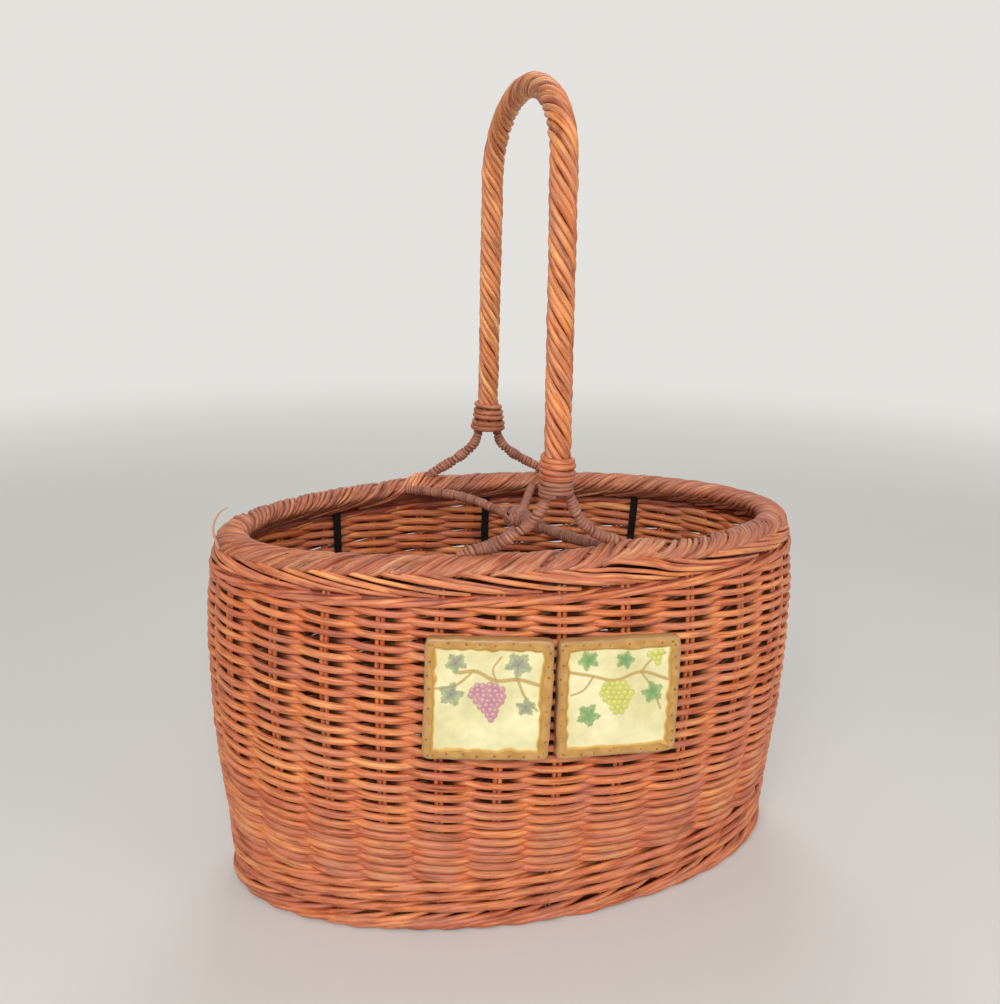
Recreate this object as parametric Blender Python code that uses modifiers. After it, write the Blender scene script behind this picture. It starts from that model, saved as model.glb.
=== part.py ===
"""An oval wicker basket for wine bottles, with a tall bow handle across its middle.

Metres, +Z up, the long way of the oval along X, the two plaques on the front, towards -Y.
"""

import math

import bmesh
import bpy
import numpy as np
from mathutils import Matrix, Vector

# Gap between pieces that touch
SEAT_GAP = 0.0003

# Oval of the wall, outside: half sizes at four heights, from the foot up
WAIST_HALF_LENGTH = 0.180
WAIST_HALF_WIDTH = 0.0905
BELLY_HALF_LENGTH = 0.1868
BELLY_HALF_WIDTH = 0.0994
SHOULDER_HALF_LENGTH = 0.184
SHOULDER_HALF_WIDTH = 0.0983
NECK_HALF_LENGTH = 0.1805
NECK_HALF_WIDTH = 0.0955
FOOT_HEIGHT = 0.012
UPSETT_HEIGHT = 0.0265
BELLY_LEVEL = 0.114
SHOULDER_LEVEL = 0.194
WALL_TOP = 0.2157
TOP_WALE_HEIGHT = 0.0072
WALL_THICKNESS = 0.009
WEAVE_RIPPLE = 0.0024
FOOT_WIDTH = 0.0155
FOOT_PROJECTION = 0.0018

# Rolled rim
RIM_INSET = 0.0018
RIM_WIDTH = 0.020
RIM_HEIGHT = 0.0126

# Base and its cross sticks
BASE_THICKNESS = 0.008
BASE_STICK_DIAMETER = 0.0042
BASE_STICK_COUNT = 5
BASE_STICK_SPACING = 0.054

# Stakes: each is a pair of thin rods side by side
STAKE_COUNT = 26
STAKE_WIDTH = 0.0062
STAKE_THICKNESS = 0.0032

# How far some stakes stand past their even places, in shares of the even spacing, counted from
# the middle of the front round by the right
STAKE_SHIFT_SHARES = (
    (0, 0.06), (1, 0.13), (2, 0.37), (3, 0.54), (4, 0.59), (9, 0.15), (10, 0.10), (14, 0.40),
    (20, 0.50), (21, 0.48), (22, 0.37), (23, 0.25), (24, 0.15), (25, 0.09), (STAKE_COUNT, 0.06),
)

# Bow handle
BOW_DIAMETER = 0.014
BOW_FOOT_HALF_SPAN = 0.0824
BOW_FOOT_LEVEL = 0.2655
BOW_FOOT_STRAIGHT = 0.019
BOW_SPRING_HALF_SPAN = 0.077
BOW_SPRING_LEVEL = 0.422
BOW_CROWN_RISE = 0.0458

# Collar: one rod wound round each end of the bow and the tops of its legs
COLLAR_ROD_DIAMETER = 0.003
COLLAR_PITCH = 0.0039
COLLAR_TURNS = 5
COLLAR_TURN_POINTS = 16
COLLAR_DROP = 0.0043

# Four wrapped legs that splay from the collars to the rim
LEG_DIAMETER = 0.005
LEG_SPREAD = 0.048
LEG_TOP_HALF_GAP = 0.0039
LEG_TOP_STRAIGHT = 0.003

# Crossed divider at the level of the rim
CANE_DIAMETER = 0.0055
DIVIDER_SPREAD = 0.063
DIVIDER_LEVEL = 0.2204
KNOT_LEVEL = 0.2236
KNOT_HALF_LENGTH = 0.0105
KNOT_HALF_WIDTH = 0.009
KNOT_HALF_HEIGHT = 0.0088

# Black metal straps inside
STRAP_WIDTH = 0.005
STRAP_THICKNESS = 0.0012
STRAP_SPACING = 0.106
STRAP_BEND_RADIUS = 0.009
STRAP_TOP_CLEARANCE = 0.003

# Plaques on the front
PLAQUE_SIDE = 0.068
PLAQUE_THICKNESS = 0.0062
PLAQUE_FRAME_WIDTH = 0.0058
PLAQUE_FRAME_RISE = 0.0012
PLAQUE_EDGE_ROUND = 0.0012
PLAQUE_LEFT_PLACE = -0.039
PLAQUE_RIGHT_PLACE = 0.0319
PLAQUE_LEFT_LEVEL = 0.1577
PLAQUE_RIGHT_LEVEL = 0.1524

# Angles of the plaques in degrees: how far each turns to the side and leans round
PLAQUE_LEFT_TURN = -10.8
PLAQUE_RIGHT_TURN = -3.2
PLAQUE_LEFT_ROLL = 1.9
PLAQUE_RIGHT_ROLL = 0.1

# Sections in shares of their own width and height, from the outside going in
FOOT_SECTION_SHARES = (
    (0.07, 0), (0.88, 0), (1, 0.25), (1, 0.8), (0.93, 1), (0.12, 1), (0, 0.6), (0.01, 0.22),
)
RIM_SECTION_SHARES = (
    (0.03, 0.22), (0.16, 0), (0.80, 0), (0.94, 0.17), (1, 0.46),
    (0.94, 0.76), (0.76, 0.95), (0.48, 1), (0.22, 0.93), (0.05, 0.68),
)

# Routes: a leg in shares of its spread and of its drop, a cane in shares of the
# divider's spread and of the rim's half width
LEG_SPREAD_SHARES = (
    ("front", "left", 1), ("front", "right", 0.77), ("rear", "left", 1), ("rear", "right", 1),
)
LEG_ROUTE_SHARES = (
    (0.11, 0.87), (0.19, 0.70), (0.34, 0.54), (0.52, 0.41), (0.71, 0.30), (0.88, 0.17), (1, 0),
)
CANE_A_SHARES = (
    (-1, 0.90), (-0.70, 0.72), (-0.41, 0.53), (-0.16, 0.22),
    (0, 0), (0.18, -0.25), (0.38, -0.58), (0.56, -0.93),
)
CANE_B_SHARES = (
    (0.52, 0.95), (0.40, 0.73), (0.28, 0.50), (0.12, 0.22),
    (0, 0), (-0.20, -0.28), (-0.42, -0.60), (-0.62, -0.92),
)

# How finely the round shapes are cut
WALL_COLUMNS_PER_STAKE = 4
RING_COLUMNS_PER_STAKE = 2
RIM_COLUMNS_PER_STAKE = 3
SIDE_WEAVE_STEPS = 5
STAKE_STEPS = 4
STAKE_SIDES = 6
BOW_LEG_STEPS = 4
BOW_CROWN_STEPS = 20
STRAP_WALL_STEPS = 6
STRAP_BEND_STEPS = 5

WICKER = ("wicker", (0.46, 0.13, 0.055), 0.5, 0.0)
WICKER_DARK = ("wicker_dark", (0.33, 0.09, 0.045), 0.55, 0.0)
WILLOW_RODS = ("willow_rods", (0.56, 0.19, 0.07), 0.45, 0.0)
WRAPPED_CANE = ("wrapped_cane", (0.27, 0.10, 0.06), 0.6, 0.0)
BLACK_STEEL = ("black_steel", (0.012, 0.011, 0.011), 0.4, 0.6)
PLAQUE_CREAM = ("plaque_cream", (0.88, 0.83, 0.52), 0.4, 0.0)


def clear_scene():
    for obj in list(bpy.data.objects):
        bpy.data.objects.remove(obj, do_unlink=True)


def make_collection(name):
    collection = bpy.data.collections.new(name)
    bpy.context.scene.collection.children.link(collection)
    return collection


def make_material(name, colour, roughness, metallic):
    if name in bpy.data.materials:
        return bpy.data.materials[name]
    material = bpy.data.materials.new(name)
    material.use_nodes = True
    shader = material.node_tree.nodes["Principled BSDF"]
    shader.inputs["Base Color"].default_value = (*colour, 1)
    shader.inputs["Roughness"].default_value = roughness
    shader.inputs["Metallic"].default_value = metallic
    return material


def add_object(name, data, collection, finish=None):
    obj = bpy.data.objects.new(name, data)
    collection.objects.link(obj)
    obj.parent = ROOT
    if finish:
        data.materials.append(make_material(*finish))
    else:
        obj.hide_render = True
        obj.display_type = "WIRE"
    return obj


def mesh_from(bm, name, smooth_angle=0.6):
    bmesh.ops.recalc_face_normals(bm, faces=bm.faces)
    mesh = bpy.data.meshes.new(name)
    bm.to_mesh(mesh)
    bm.free()
    mesh.shade_smooth()
    mesh.set_sharp_from_angle(angle=smooth_angle)
    return mesh


def between_stations(level, levels, sizes):
    """A smooth curve through the sizes at the given levels."""
    slopes = np.gradient(np.array(sizes), np.array(levels))
    index = int(np.clip(np.searchsorted(levels, level) - 1, 0, len(levels) - 2))
    step = levels[index + 1] - levels[index]
    share = min(max((level - levels[index]) / step, 0), 1)
    square, cube = share * share, share ** 3
    return (
        (2 * cube - 3 * square + 1) * sizes[index]
        + (cube - 2 * square + share) * step * slopes[index]
        + (3 * square - 2 * cube) * sizes[index + 1]
        + (cube - square) * step * slopes[index + 1]
    )


def wall_sizes(level, inset=0):
    """Half length and half width of the wall's oval at a level, this far in from its outside."""
    levels = (FOOT_HEIGHT, BELLY_LEVEL, SHOULDER_LEVEL, WALL_TOP)
    lengths = (WAIST_HALF_LENGTH, BELLY_HALF_LENGTH, SHOULDER_HALF_LENGTH, NECK_HALF_LENGTH)
    widths = (WAIST_HALF_WIDTH, BELLY_HALF_WIDTH, SHOULDER_HALF_WIDTH, NECK_HALF_WIDTH)
    half_length = between_stations(level, levels, lengths) - inset
    half_width = between_stations(level, levels, widths) - inset
    return half_length, half_width


def column_angles(count):
    """Angles round the oval of the stakes and of columns shared out evenly between them."""
    turns = 2
    fine = np.linspace(-math.pi / 2, turns * 2 * math.pi - math.pi / 2, turns * 4 * 360 + 1)
    x = BELLY_HALF_LENGTH * np.cos(fine)
    y = BELLY_HALF_WIDTH * np.sin(fine)
    run = np.concatenate([[0], np.cumsum(np.hypot(np.diff(x), np.diff(y)))])
    spacing = run[-1] / turns / STAKE_COUNT
    numbers, shifts = zip(*STAKE_SHIFT_SHARES)
    places = np.arange(count) * STAKE_COUNT / count
    places += np.interp(places, numbers, shifts)
    return np.interp(places * spacing, run, fine)


def oval_loft(name, columns_per_stake, outline):
    """A ring round the oval. Each outline point is its half length, half width and height,
    and how far it moves out midway between two stakes."""
    count = STAKE_COUNT * columns_per_stake
    bm = bmesh.new()
    loops = []
    for column, angle in enumerate(column_angles(count)):
        midway = 0.5 - 0.5 * math.cos(2 * math.pi * column / columns_per_stake)
        loop = []
        for half_length, half_width, level, ripple in outline:
            x = (half_length + ripple * midway) * math.cos(angle)
            y = (half_width + ripple * midway) * math.sin(angle)
            loop.append(bm.verts.new((x, y, level)))
        loops.append(loop)
    for loop, following in zip(loops, loops[1:] + loops[:1]):
        for corner in range(len(loop)):
            beside = (corner + 1) % len(loop)
            bm.faces.new((loop[corner], following[corner], following[beside], loop[beside]))
    return mesh_from(bm, name)


def section_outline(shares, half_length, half_width, bottom, width, height):
    """The corners of a ring's section, whose shares run inwards and up."""
    outline = []
    for inward, upward in shares:
        inset = inward * width
        outline.append((half_length - inset, half_width - inset, bottom + upward * height, 0))
    return outline


def wall_outline(bottom, top, steps, ripple):
    """Up the outside of the wall and down its inside."""
    levels = np.linspace(bottom, top, steps + 1)
    outside = [(*wall_sizes(level), level, -ripple) for level in levels]
    inside = [(*wall_sizes(level, WALL_THICKNESS), level, ripple) for level in levels[::-1]]
    return outside + inside


def add_boolean(obj, cutter):
    cut = obj.modifiers.new("cut_" + cutter.name, "BOOLEAN")
    cut.operation = "DIFFERENCE"
    cut.solver = "EXACT"
    cut.object = cutter


def stake_loft(bm, angle, grow, overrun):
    """One stake, or its channel: a flat oval rod that follows the middle of the wall."""
    loops = []
    levels = np.linspace(FOOT_HEIGHT, WALL_TOP, STAKE_STEPS + 1)
    for step, level in enumerate(levels):
        half_length, half_width = wall_sizes(level, WALL_THICKNESS / 2)
        if step == 0:
            level -= overrun
        elif step == STAKE_STEPS:
            level += overrun
        centre = Vector((half_length * math.cos(angle), half_width * math.sin(angle), level))
        along = Vector((-half_length * math.sin(angle), half_width * math.cos(angle), 0))
        along.normalize()
        across = along.cross(Vector((0, 0, 1)))
        loop = []
        for side in range(STAKE_SIDES):
            turn = 2 * math.pi * side / STAKE_SIDES
            sideways = (STAKE_WIDTH / 2 + grow) * math.cos(turn)
            outwards = (STAKE_THICKNESS / 2 + grow) * math.sin(turn)
            loop.append(bm.verts.new(centre + along * sideways + across * outwards))
        loops.append(loop)
    for loop, above in zip(loops, loops[1:]):
        for side in range(STAKE_SIDES):
            beside = (side + 1) % STAKE_SIDES
            bm.faces.new((loop[side], loop[beside], above[beside], above[side]))
    bm.faces.new(loops[0])
    bm.faces.new(loops[-1])


def make_stakes():
    for number, angle in enumerate(column_angles(STAKE_COUNT), 1):
        name = f"stake_{number:02d}"
        bm = bmesh.new()
        stake_loft(bm, angle, 0, -SEAT_GAP)
        add_object(name, mesh_from(bm, name), PARTS, WICKER_DARK)


def make_stake_channels():
    bm = bmesh.new()
    for angle in column_angles(STAKE_COUNT):
        stake_loft(bm, angle, SEAT_GAP, SEAT_GAP)
    return add_object("stake_channels", mesh_from(bm, "stake_channels"), CUTTERS)


def make_foot_border():
    half_length = WAIST_HALF_LENGTH + FOOT_PROJECTION
    half_width = WAIST_HALF_WIDTH + FOOT_PROJECTION
    outline = section_outline(
        FOOT_SECTION_SHARES, half_length, half_width, 0, FOOT_WIDTH, FOOT_HEIGHT
    )
    mesh = oval_loft("foot_border", RING_COLUMNS_PER_STAKE, outline)
    add_object("foot_border", mesh, PARTS, WICKER)


def make_wall(channels):
    """The upsett wale, the woven side and the top wale, one above another round the stakes."""
    upsett_top = FOOT_HEIGHT + UPSETT_HEIGHT
    side_top = WALL_TOP - TOP_WALE_HEIGHT
    pieces = (
        ("upsett_wale", FOOT_HEIGHT + SEAT_GAP, upsett_top, 2, 0, RING_COLUMNS_PER_STAKE),
        ("side_weave", upsett_top + SEAT_GAP, side_top, SIDE_WEAVE_STEPS, WEAVE_RIPPLE,
         WALL_COLUMNS_PER_STAKE),
        ("top_wale", side_top + SEAT_GAP, WALL_TOP, 1, 0, RING_COLUMNS_PER_STAKE),
    )
    for name, bottom, top, steps, ripple, columns in pieces:
        mesh = oval_loft(name, columns, wall_outline(bottom, top, steps, ripple))
        ring = add_object(name, mesh, PARTS, WICKER)
        add_boolean(ring, channels)


def rim_sizes():
    return NECK_HALF_LENGTH - RIM_INSET, NECK_HALF_WIDTH - RIM_INSET


def rim_mesh(name, grow):
    half_length, half_width = rim_sizes()
    outline = section_outline(
        RIM_SECTION_SHARES,
        half_length + grow,
        half_width + grow,
        WALL_TOP + SEAT_GAP - grow,
        RIM_WIDTH + 2 * grow,
        RIM_HEIGHT + 2 * grow,
    )
    return oval_loft(name, RIM_COLUMNS_PER_STAKE, outline)


def make_rim_border():
    add_object("rim_border", rim_mesh("rim_border", 0), PARTS, WICKER)
    return add_object("rim_seat", rim_mesh("rim_seat", SEAT_GAP), CUTTERS)


def stick_places():
    middle = (BASE_STICK_COUNT - 1) / 2
    return [(index - middle) * BASE_STICK_SPACING for index in range(BASE_STICK_COUNT)]


def base_stick_mesh(name, x, grow):
    """A straight stick across the base, ending short of the base's edge."""
    half_length, half_width = wall_sizes(FOOT_HEIGHT, WALL_THICKNESS)
    reach = half_width * math.sqrt(1 - (x / half_length) ** 2) - WALL_THICKNESS
    level = FOOT_HEIGHT + SEAT_GAP + BASE_THICKNESS / 2
    bm = bmesh.new()
    radius = BASE_STICK_DIAMETER / 2 + grow
    bmesh.ops.create_cone(
        bm, cap_ends=True, segments=8, radius1=radius, radius2=radius, depth=2 * (reach + grow),
        matrix=Matrix.Translation((x, 0, level)) @ Matrix.Rotation(math.pi / 2, 4, "X"),
    )
    return mesh_from(bm, name)


def make_base():
    """The woven floor, which lies on the foot inside the wall, in two layers round its sticks."""
    bottom = FOOT_HEIGHT + SEAT_GAP
    middle = bottom + BASE_THICKNESS / 2
    layers = (
        ("base_lower", bottom, middle - SEAT_GAP / 2),
        ("base_upper", middle + SEAT_GAP / 2, bottom + BASE_THICKNESS),
    )
    sticks = []
    for number, x in enumerate(stick_places(), 1):
        name = f"base_stick_{number}"
        add_object(name, base_stick_mesh(name, x, 0), PARTS, WICKER_DARK)
        channel = base_stick_mesh(name + "_channel", x, SEAT_GAP)
        sticks.append(add_object(name + "_channel", channel, CUTTERS))
    for name, low, high in layers:
        bm = bmesh.new()
        loops = []
        for level in (low, high):
            half_length, half_width = wall_sizes(FOOT_HEIGHT, WALL_THICKNESS + SEAT_GAP)
            loops.append([
                bm.verts.new((half_length * math.cos(angle), half_width * math.sin(angle), level))
                for angle in column_angles(STAKE_COUNT * RING_COLUMNS_PER_STAKE)
            ])
        rim_edges = [bm.faces.new(loop).edges[:] for loop in loops]
        bmesh.ops.bridge_loops(bm, edges=rim_edges[0] + rim_edges[1])
        layer = add_object(name, mesh_from(bm, name), PARTS, WICKER)
        for channel in sticks:
            add_boolean(layer, channel)


def tube(name, points, diameter, bevel_resolution):
    """A curve of straight stretches with a round section and closed ends."""
    curve = bpy.data.curves.new(name, "CURVE")
    curve.dimensions = "3D"
    curve.bevel_depth = diameter / 2
    curve.bevel_resolution = bevel_resolution
    curve.use_fill_caps = True
    spline = curve.splines.new("POLY")
    spline.points.add(len(points) - 1)
    for target, point in zip(spline.points, points):
        target.co = (*point, 1)
    return curve


def tube_mesh(name, points, diameter, bevel_resolution):
    """The same tube as a welded mesh, for Boolean cuts."""
    curve = tube(name, points, diameter, bevel_resolution)
    helper = bpy.data.objects.new(name, curve)
    CUTTERS.objects.link(helper)
    graph = bpy.context.evaluated_depsgraph_get()
    mesh = bpy.data.meshes.new_from_object(helper.evaluated_get(graph))
    bpy.data.objects.remove(helper, do_unlink=True)
    bm = bmesh.new()
    bm.from_mesh(mesh)
    bpy.data.meshes.remove(mesh)
    bmesh.ops.remove_doubles(bm, verts=bm.verts, dist=SEAT_GAP / 10)
    return mesh_from(bm, name)


def bow_points():
    """Up one leg, over the crown and down the other, in the plane across the basket."""
    straight_top = BOW_FOOT_LEVEL + BOW_FOOT_STRAIGHT
    leg = [(BOW_FOOT_HALF_SPAN, BOW_FOOT_LEVEL)] + [
        (
            BOW_FOOT_HALF_SPAN + (BOW_SPRING_HALF_SPAN - BOW_FOOT_HALF_SPAN) * share,
            straight_top + (BOW_SPRING_LEVEL - straight_top) * share,
        )
        for share in np.arange(BOW_LEG_STEPS) / BOW_LEG_STEPS
    ]
    crown = [
        (
            BOW_SPRING_HALF_SPAN * math.cos(turn),
            BOW_SPRING_LEVEL + BOW_CROWN_RISE * math.sin(turn),
        )
        for turn in np.linspace(0, math.pi, BOW_CROWN_STEPS + 1)
    ]
    side = leg + crown + [(-y, z) for y, z in leg[::-1]]
    return [(0, y, z) for y, z in side]


def make_bow():
    add_object("handle_bow", tube("handle_bow", bow_points(), BOW_DIAMETER, 3), PARTS, WILLOW_RODS)


def least_gap(points, diameter, apart):
    """The smallest clear space between stretches of a tube that lie this many points apart."""
    places = np.array(points)
    gaps = []
    for index in range(len(places) - apart):
        gaps.append(np.linalg.norm(places[index + apart:] - places[index], axis=1).min())
    return min(gaps) - diameter


def make_collars():
    """A rod wound in close turns round each end of the bow, as one unbroken tube."""
    radius = (BOW_DIAMETER + COLLAR_ROD_DIAMETER) / 2 + SEAT_GAP
    bottom = BOW_FOOT_LEVEL - COLLAR_DROP + COLLAR_ROD_DIAMETER / 2
    steps = COLLAR_TURNS * COLLAR_TURN_POINTS
    for name, side in (("collar_front", -1), ("collar_rear", 1)):
        points = []
        for step in range(steps + 1):
            turn = 2 * math.pi * step / COLLAR_TURN_POINTS
            level = bottom + COLLAR_PITCH * step / COLLAR_TURN_POINTS
            x = radius * math.cos(turn)
            y = side * BOW_FOOT_HALF_SPAN + radius * math.sin(turn)
            points.append((x, y, level))
        gap = least_gap(points, COLLAR_ROD_DIAMETER, COLLAR_TURN_POINTS * 3 // 4)
        print(f"{name}: least gap between turns {gap * 1000:.2f} mm")
        add_object(name, tube(name, points, COLLAR_ROD_DIAMETER, 1), PARTS, WICKER_DARK)


def roll_centre(x):
    """How far from the middle the rim's own middle line runs at this distance along the basket."""
    half_length, half_width = (size - RIM_WIDTH / 2 for size in rim_sizes())
    return half_width * math.sqrt(1 - (x / half_length) ** 2)


def roll_level():
    return WALL_TOP + SEAT_GAP + RIM_HEIGHT / 2


def make_legs(rim_seat):
    """Two legs under each collar, splayed along the rim and let into its top."""
    top = BOW_FOOT_LEVEL - SEAT_GAP
    drop = top - roll_level()
    for front_or_rear, left_or_right, reach in LEG_SPREAD_SHARES:
        name = f"leg_{front_or_rear}_{left_or_right}"
        side = -1 if front_or_rear == "front" else 1
        hand = -1 if left_or_right == "left" else 1
        start_x, start_y = hand * LEG_TOP_HALF_GAP, side * BOW_FOOT_HALF_SPAN
        points = [(start_x, start_y, top), (start_x, start_y, top - LEG_TOP_STRAIGHT)]
        for outward, upward in LEG_ROUTE_SHARES:
            x = LEG_SPREAD * reach * outward
            blend = 1 - upward
            y = BOW_FOOT_HALF_SPAN + (roll_centre(x) - BOW_FOOT_HALF_SPAN) * blend
            points.append((hand * x, side * y, roll_level() + drop * upward))
        leg = add_object(name, tube_mesh(name, points, LEG_DIAMETER, 2), PARTS, WRAPPED_CANE)
        add_boolean(leg, rim_seat)


def cane_points(shares, lift):
    """A cane across the basket, from the middle of the rim to its own level in the middle."""
    reach = rim_sizes()[1] - RIM_WIDTH / 2
    points = []
    for outward, across in shares:
        level = roll_level() + (DIVIDER_LEVEL + lift - roll_level()) * (1 - abs(across))
        points.append((outward * DIVIDER_SPREAD, across * reach, level))
    return points


def make_divider(rim_seat):
    """Two canes crossed at the level of the rim, one over the other, lashed in the middle."""
    lift = (CANE_DIAMETER + SEAT_GAP) / 2
    canes = (
        ("divider_cane_a", CANE_A_SHARES, lift),
        ("divider_cane_b", CANE_B_SHARES, -lift),
    )
    bm = bmesh.new()
    size = Matrix.Diagonal((KNOT_HALF_LENGTH, KNOT_HALF_WIDTH, KNOT_HALF_HEIGHT, 1))
    place = Matrix.Translation((0, 0, KNOT_LEVEL)) @ size
    bmesh.ops.create_uvsphere(bm, u_segments=16, v_segments=10, radius=1, matrix=place)
    knot = add_object("divider_knot", mesh_from(bm, "divider_knot"), PARTS, WRAPPED_CANE)
    for name, shares, rise in canes:
        points = cane_points(shares, rise)
        cane = add_object(name, tube_mesh(name, points, CANE_DIAMETER, 2), PARTS, WRAPPED_CANE)
        add_boolean(cane, rim_seat)
        wide = tube_mesh(name + "_bore", points, CANE_DIAMETER + 2 * SEAT_GAP, 2)
        add_boolean(knot, add_object(name + "_bore", wide, CUTTERS))


def strap_stations(x):
    """Places and width directions down the rear wall of the basket, from the top to the floor."""
    inset = WALL_THICKNESS + SEAT_GAP
    floor = FOOT_HEIGHT + 2 * SEAT_GAP + BASE_THICKNESS
    stations = []
    for level in np.linspace(WALL_TOP - STRAP_TOP_CLEARANCE, floor + STRAP_BEND_RADIUS,
                             STRAP_WALL_STEPS + 1):
        half_length, half_width = wall_sizes(level, inset)
        y = half_width * math.sqrt(1 - (x / half_length) ** 2)
        slant = -half_width ** 2 * x / (half_length ** 2 * y)
        stations.append((Vector((x, y, level)), Vector((1, slant, 0)).normalized()))
    last, lean = stations[-1]
    for step in range(1, STRAP_BEND_STEPS + 1):
        turn = math.pi / 2 * step / STRAP_BEND_STEPS
        y = last.y - STRAP_BEND_RADIUS * (1 - math.cos(turn))
        z = last.z - STRAP_BEND_RADIUS * math.sin(turn)
        sideways = lean.lerp(Vector((1, 0, 0)), step / STRAP_BEND_STEPS).normalized()
        stations.append((Vector((x, y, z)), sideways))
    return stations


def make_straps():
    """Flat straps bent in a U: down the rear wall, over the floor and up the front wall."""
    for name, x in (
        ("strap_left", -STRAP_SPACING), ("strap_middle", 0), ("strap_right", STRAP_SPACING),
    ):
        rear = strap_stations(x)
        flip = Vector((1, -1, 1))
        front = [(place * flip, sideways * flip) for place, sideways in reversed(rear)]
        bm = bmesh.new()
        rows = []
        for place, sideways in rear + front:
            offset = sideways * STRAP_WIDTH / 2
            rows.append((bm.verts.new(place - offset), bm.verts.new(place + offset)))
        for row, following in zip(rows, rows[1:]):
            bm.faces.new((row[0], row[1], following[1], following[0]))
        bm.normal_update()
        mesh = bpy.data.meshes.new(name)
        bm.to_mesh(mesh)
        bm.free()
        strap = add_object(name, mesh, PARTS, BLACK_STEEL)
        shell = strap.modifiers.new("thickness", "SOLIDIFY")
        shell.thickness = STRAP_THICKNESS
        shell.offset = 1 if mesh.polygons[0].normal.y < 0 else -1
        shell.use_even_offset = True


def front_of_wall(x, level):
    half_length, half_width = wall_sizes(level)
    return Vector((x, -half_width * math.sqrt(1 - (x / half_length) ** 2), level))


def plaque_mesh(name):
    """A square tile with a raised frame round a flat panel, its back on the XY plane."""
    bm = bmesh.new()
    bmesh.ops.create_cube(bm, size=1)
    bmesh.ops.translate(bm, verts=bm.verts, vec=(0, 0, 0.5))
    bmesh.ops.scale(bm, verts=bm.verts, vec=(PLAQUE_SIDE, PLAQUE_SIDE, PLAQUE_THICKNESS))
    bm.normal_update()
    rim = [edge for edge in bm.edges if not all(vert.co.z == 0 for vert in edge.verts)]
    bmesh.ops.bevel(
        bm, geom=rim, offset=PLAQUE_EDGE_ROUND, segments=2, profile=0.5, affect="EDGES",
    )
    bm.normal_update()
    front = max(bm.faces, key=lambda face: face.calc_center_median().z)
    bmesh.ops.inset_region(bm, faces=[front], thickness=PLAQUE_FRAME_WIDTH - PLAQUE_EDGE_ROUND)
    bmesh.ops.inset_region(bm, faces=[front], thickness=PLAQUE_FRAME_RISE / 2,
                           depth=-PLAQUE_FRAME_RISE)
    return mesh_from(bm, name)


def make_plaques():
    """Each plaque hangs flat against the front of the wall, touching it where it bulges most."""
    plaques = (
        ("plaque_left", PLAQUE_LEFT_PLACE, PLAQUE_LEFT_LEVEL, PLAQUE_LEFT_TURN, PLAQUE_LEFT_ROLL),
        ("plaque_right", PLAQUE_RIGHT_PLACE, PLAQUE_RIGHT_LEVEL, PLAQUE_RIGHT_TURN,
         PLAQUE_RIGHT_ROLL),
    )
    half = PLAQUE_SIDE / 2
    for name, x, level, turn, roll in plaques:
        above = front_of_wall(x, level + half)
        below = front_of_wall(x, level - half)
        lean = math.atan2(above.y - below.y, above.z - below.z)
        facing = (
            Matrix.Rotation(math.radians(turn), 3, "Z")
            @ Matrix.Rotation(math.pi / 2 - lean, 3, "X")
            @ Matrix.Rotation(math.radians(-roll), 3, "Z")
        )
        normal = facing @ Vector((0, 0, 1))
        centre = front_of_wall(x, level)
        reach = max(
            (front_of_wall(x + sideways, level + upwards) - centre).dot(normal)
            for sideways in np.linspace(-half, half, 9)
            for upwards in np.linspace(-half, half, 9)
        )
        plaque = add_object(name, plaque_mesh(name), PARTS, PLAQUE_CREAM)
        plaque.location = centre + normal * (reach + SEAT_GAP)
        plaque.rotation_euler = facing.to_euler()


def centre_on_box():
    """The origin stands under the middle of the whole object's box, plaques included."""
    bpy.context.view_layer.update()
    depths = [
        (obj.matrix_world @ vert.co).y
        for obj in PARTS.objects if obj.type == "MESH"
        for vert in obj.data.vertices
    ]
    ROOT.location.y = -(min(depths) + max(depths)) / 2
    print(f"moved back by {ROOT.location.y * 1000:.3f} mm")


clear_scene()
PARTS = make_collection("wine_bottle_basket")
CUTTERS = make_collection("cutters")
ROOT = bpy.data.objects.new("basket_root", None)
PARTS.objects.link(ROOT)

make_foot_border()
make_base()
make_wall(make_stake_channels())
make_stakes()
seat = make_rim_border()
make_bow()
make_collars()
make_legs(seat)
make_divider(seat)
make_straps()
make_plaques()
centre_on_box()
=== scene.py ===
import math

import bmesh
import bpy
import numpy as np
from mathutils import Matrix, Vector


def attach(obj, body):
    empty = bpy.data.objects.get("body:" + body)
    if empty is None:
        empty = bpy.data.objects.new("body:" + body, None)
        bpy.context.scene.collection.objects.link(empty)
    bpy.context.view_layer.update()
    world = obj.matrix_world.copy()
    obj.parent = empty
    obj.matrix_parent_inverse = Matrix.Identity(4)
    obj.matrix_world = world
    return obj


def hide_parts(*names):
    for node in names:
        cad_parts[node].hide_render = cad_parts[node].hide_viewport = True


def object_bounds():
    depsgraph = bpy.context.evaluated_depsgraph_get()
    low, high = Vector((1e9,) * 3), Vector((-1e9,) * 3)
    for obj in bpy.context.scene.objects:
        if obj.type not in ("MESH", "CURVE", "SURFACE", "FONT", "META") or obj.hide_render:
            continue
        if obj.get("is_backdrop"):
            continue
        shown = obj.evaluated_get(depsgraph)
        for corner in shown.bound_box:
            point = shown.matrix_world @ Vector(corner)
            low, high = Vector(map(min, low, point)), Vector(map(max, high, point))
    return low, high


# Looks for the wine bottle basket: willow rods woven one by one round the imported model.
# Metres, +Z up, plaques towards -Y.

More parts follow.
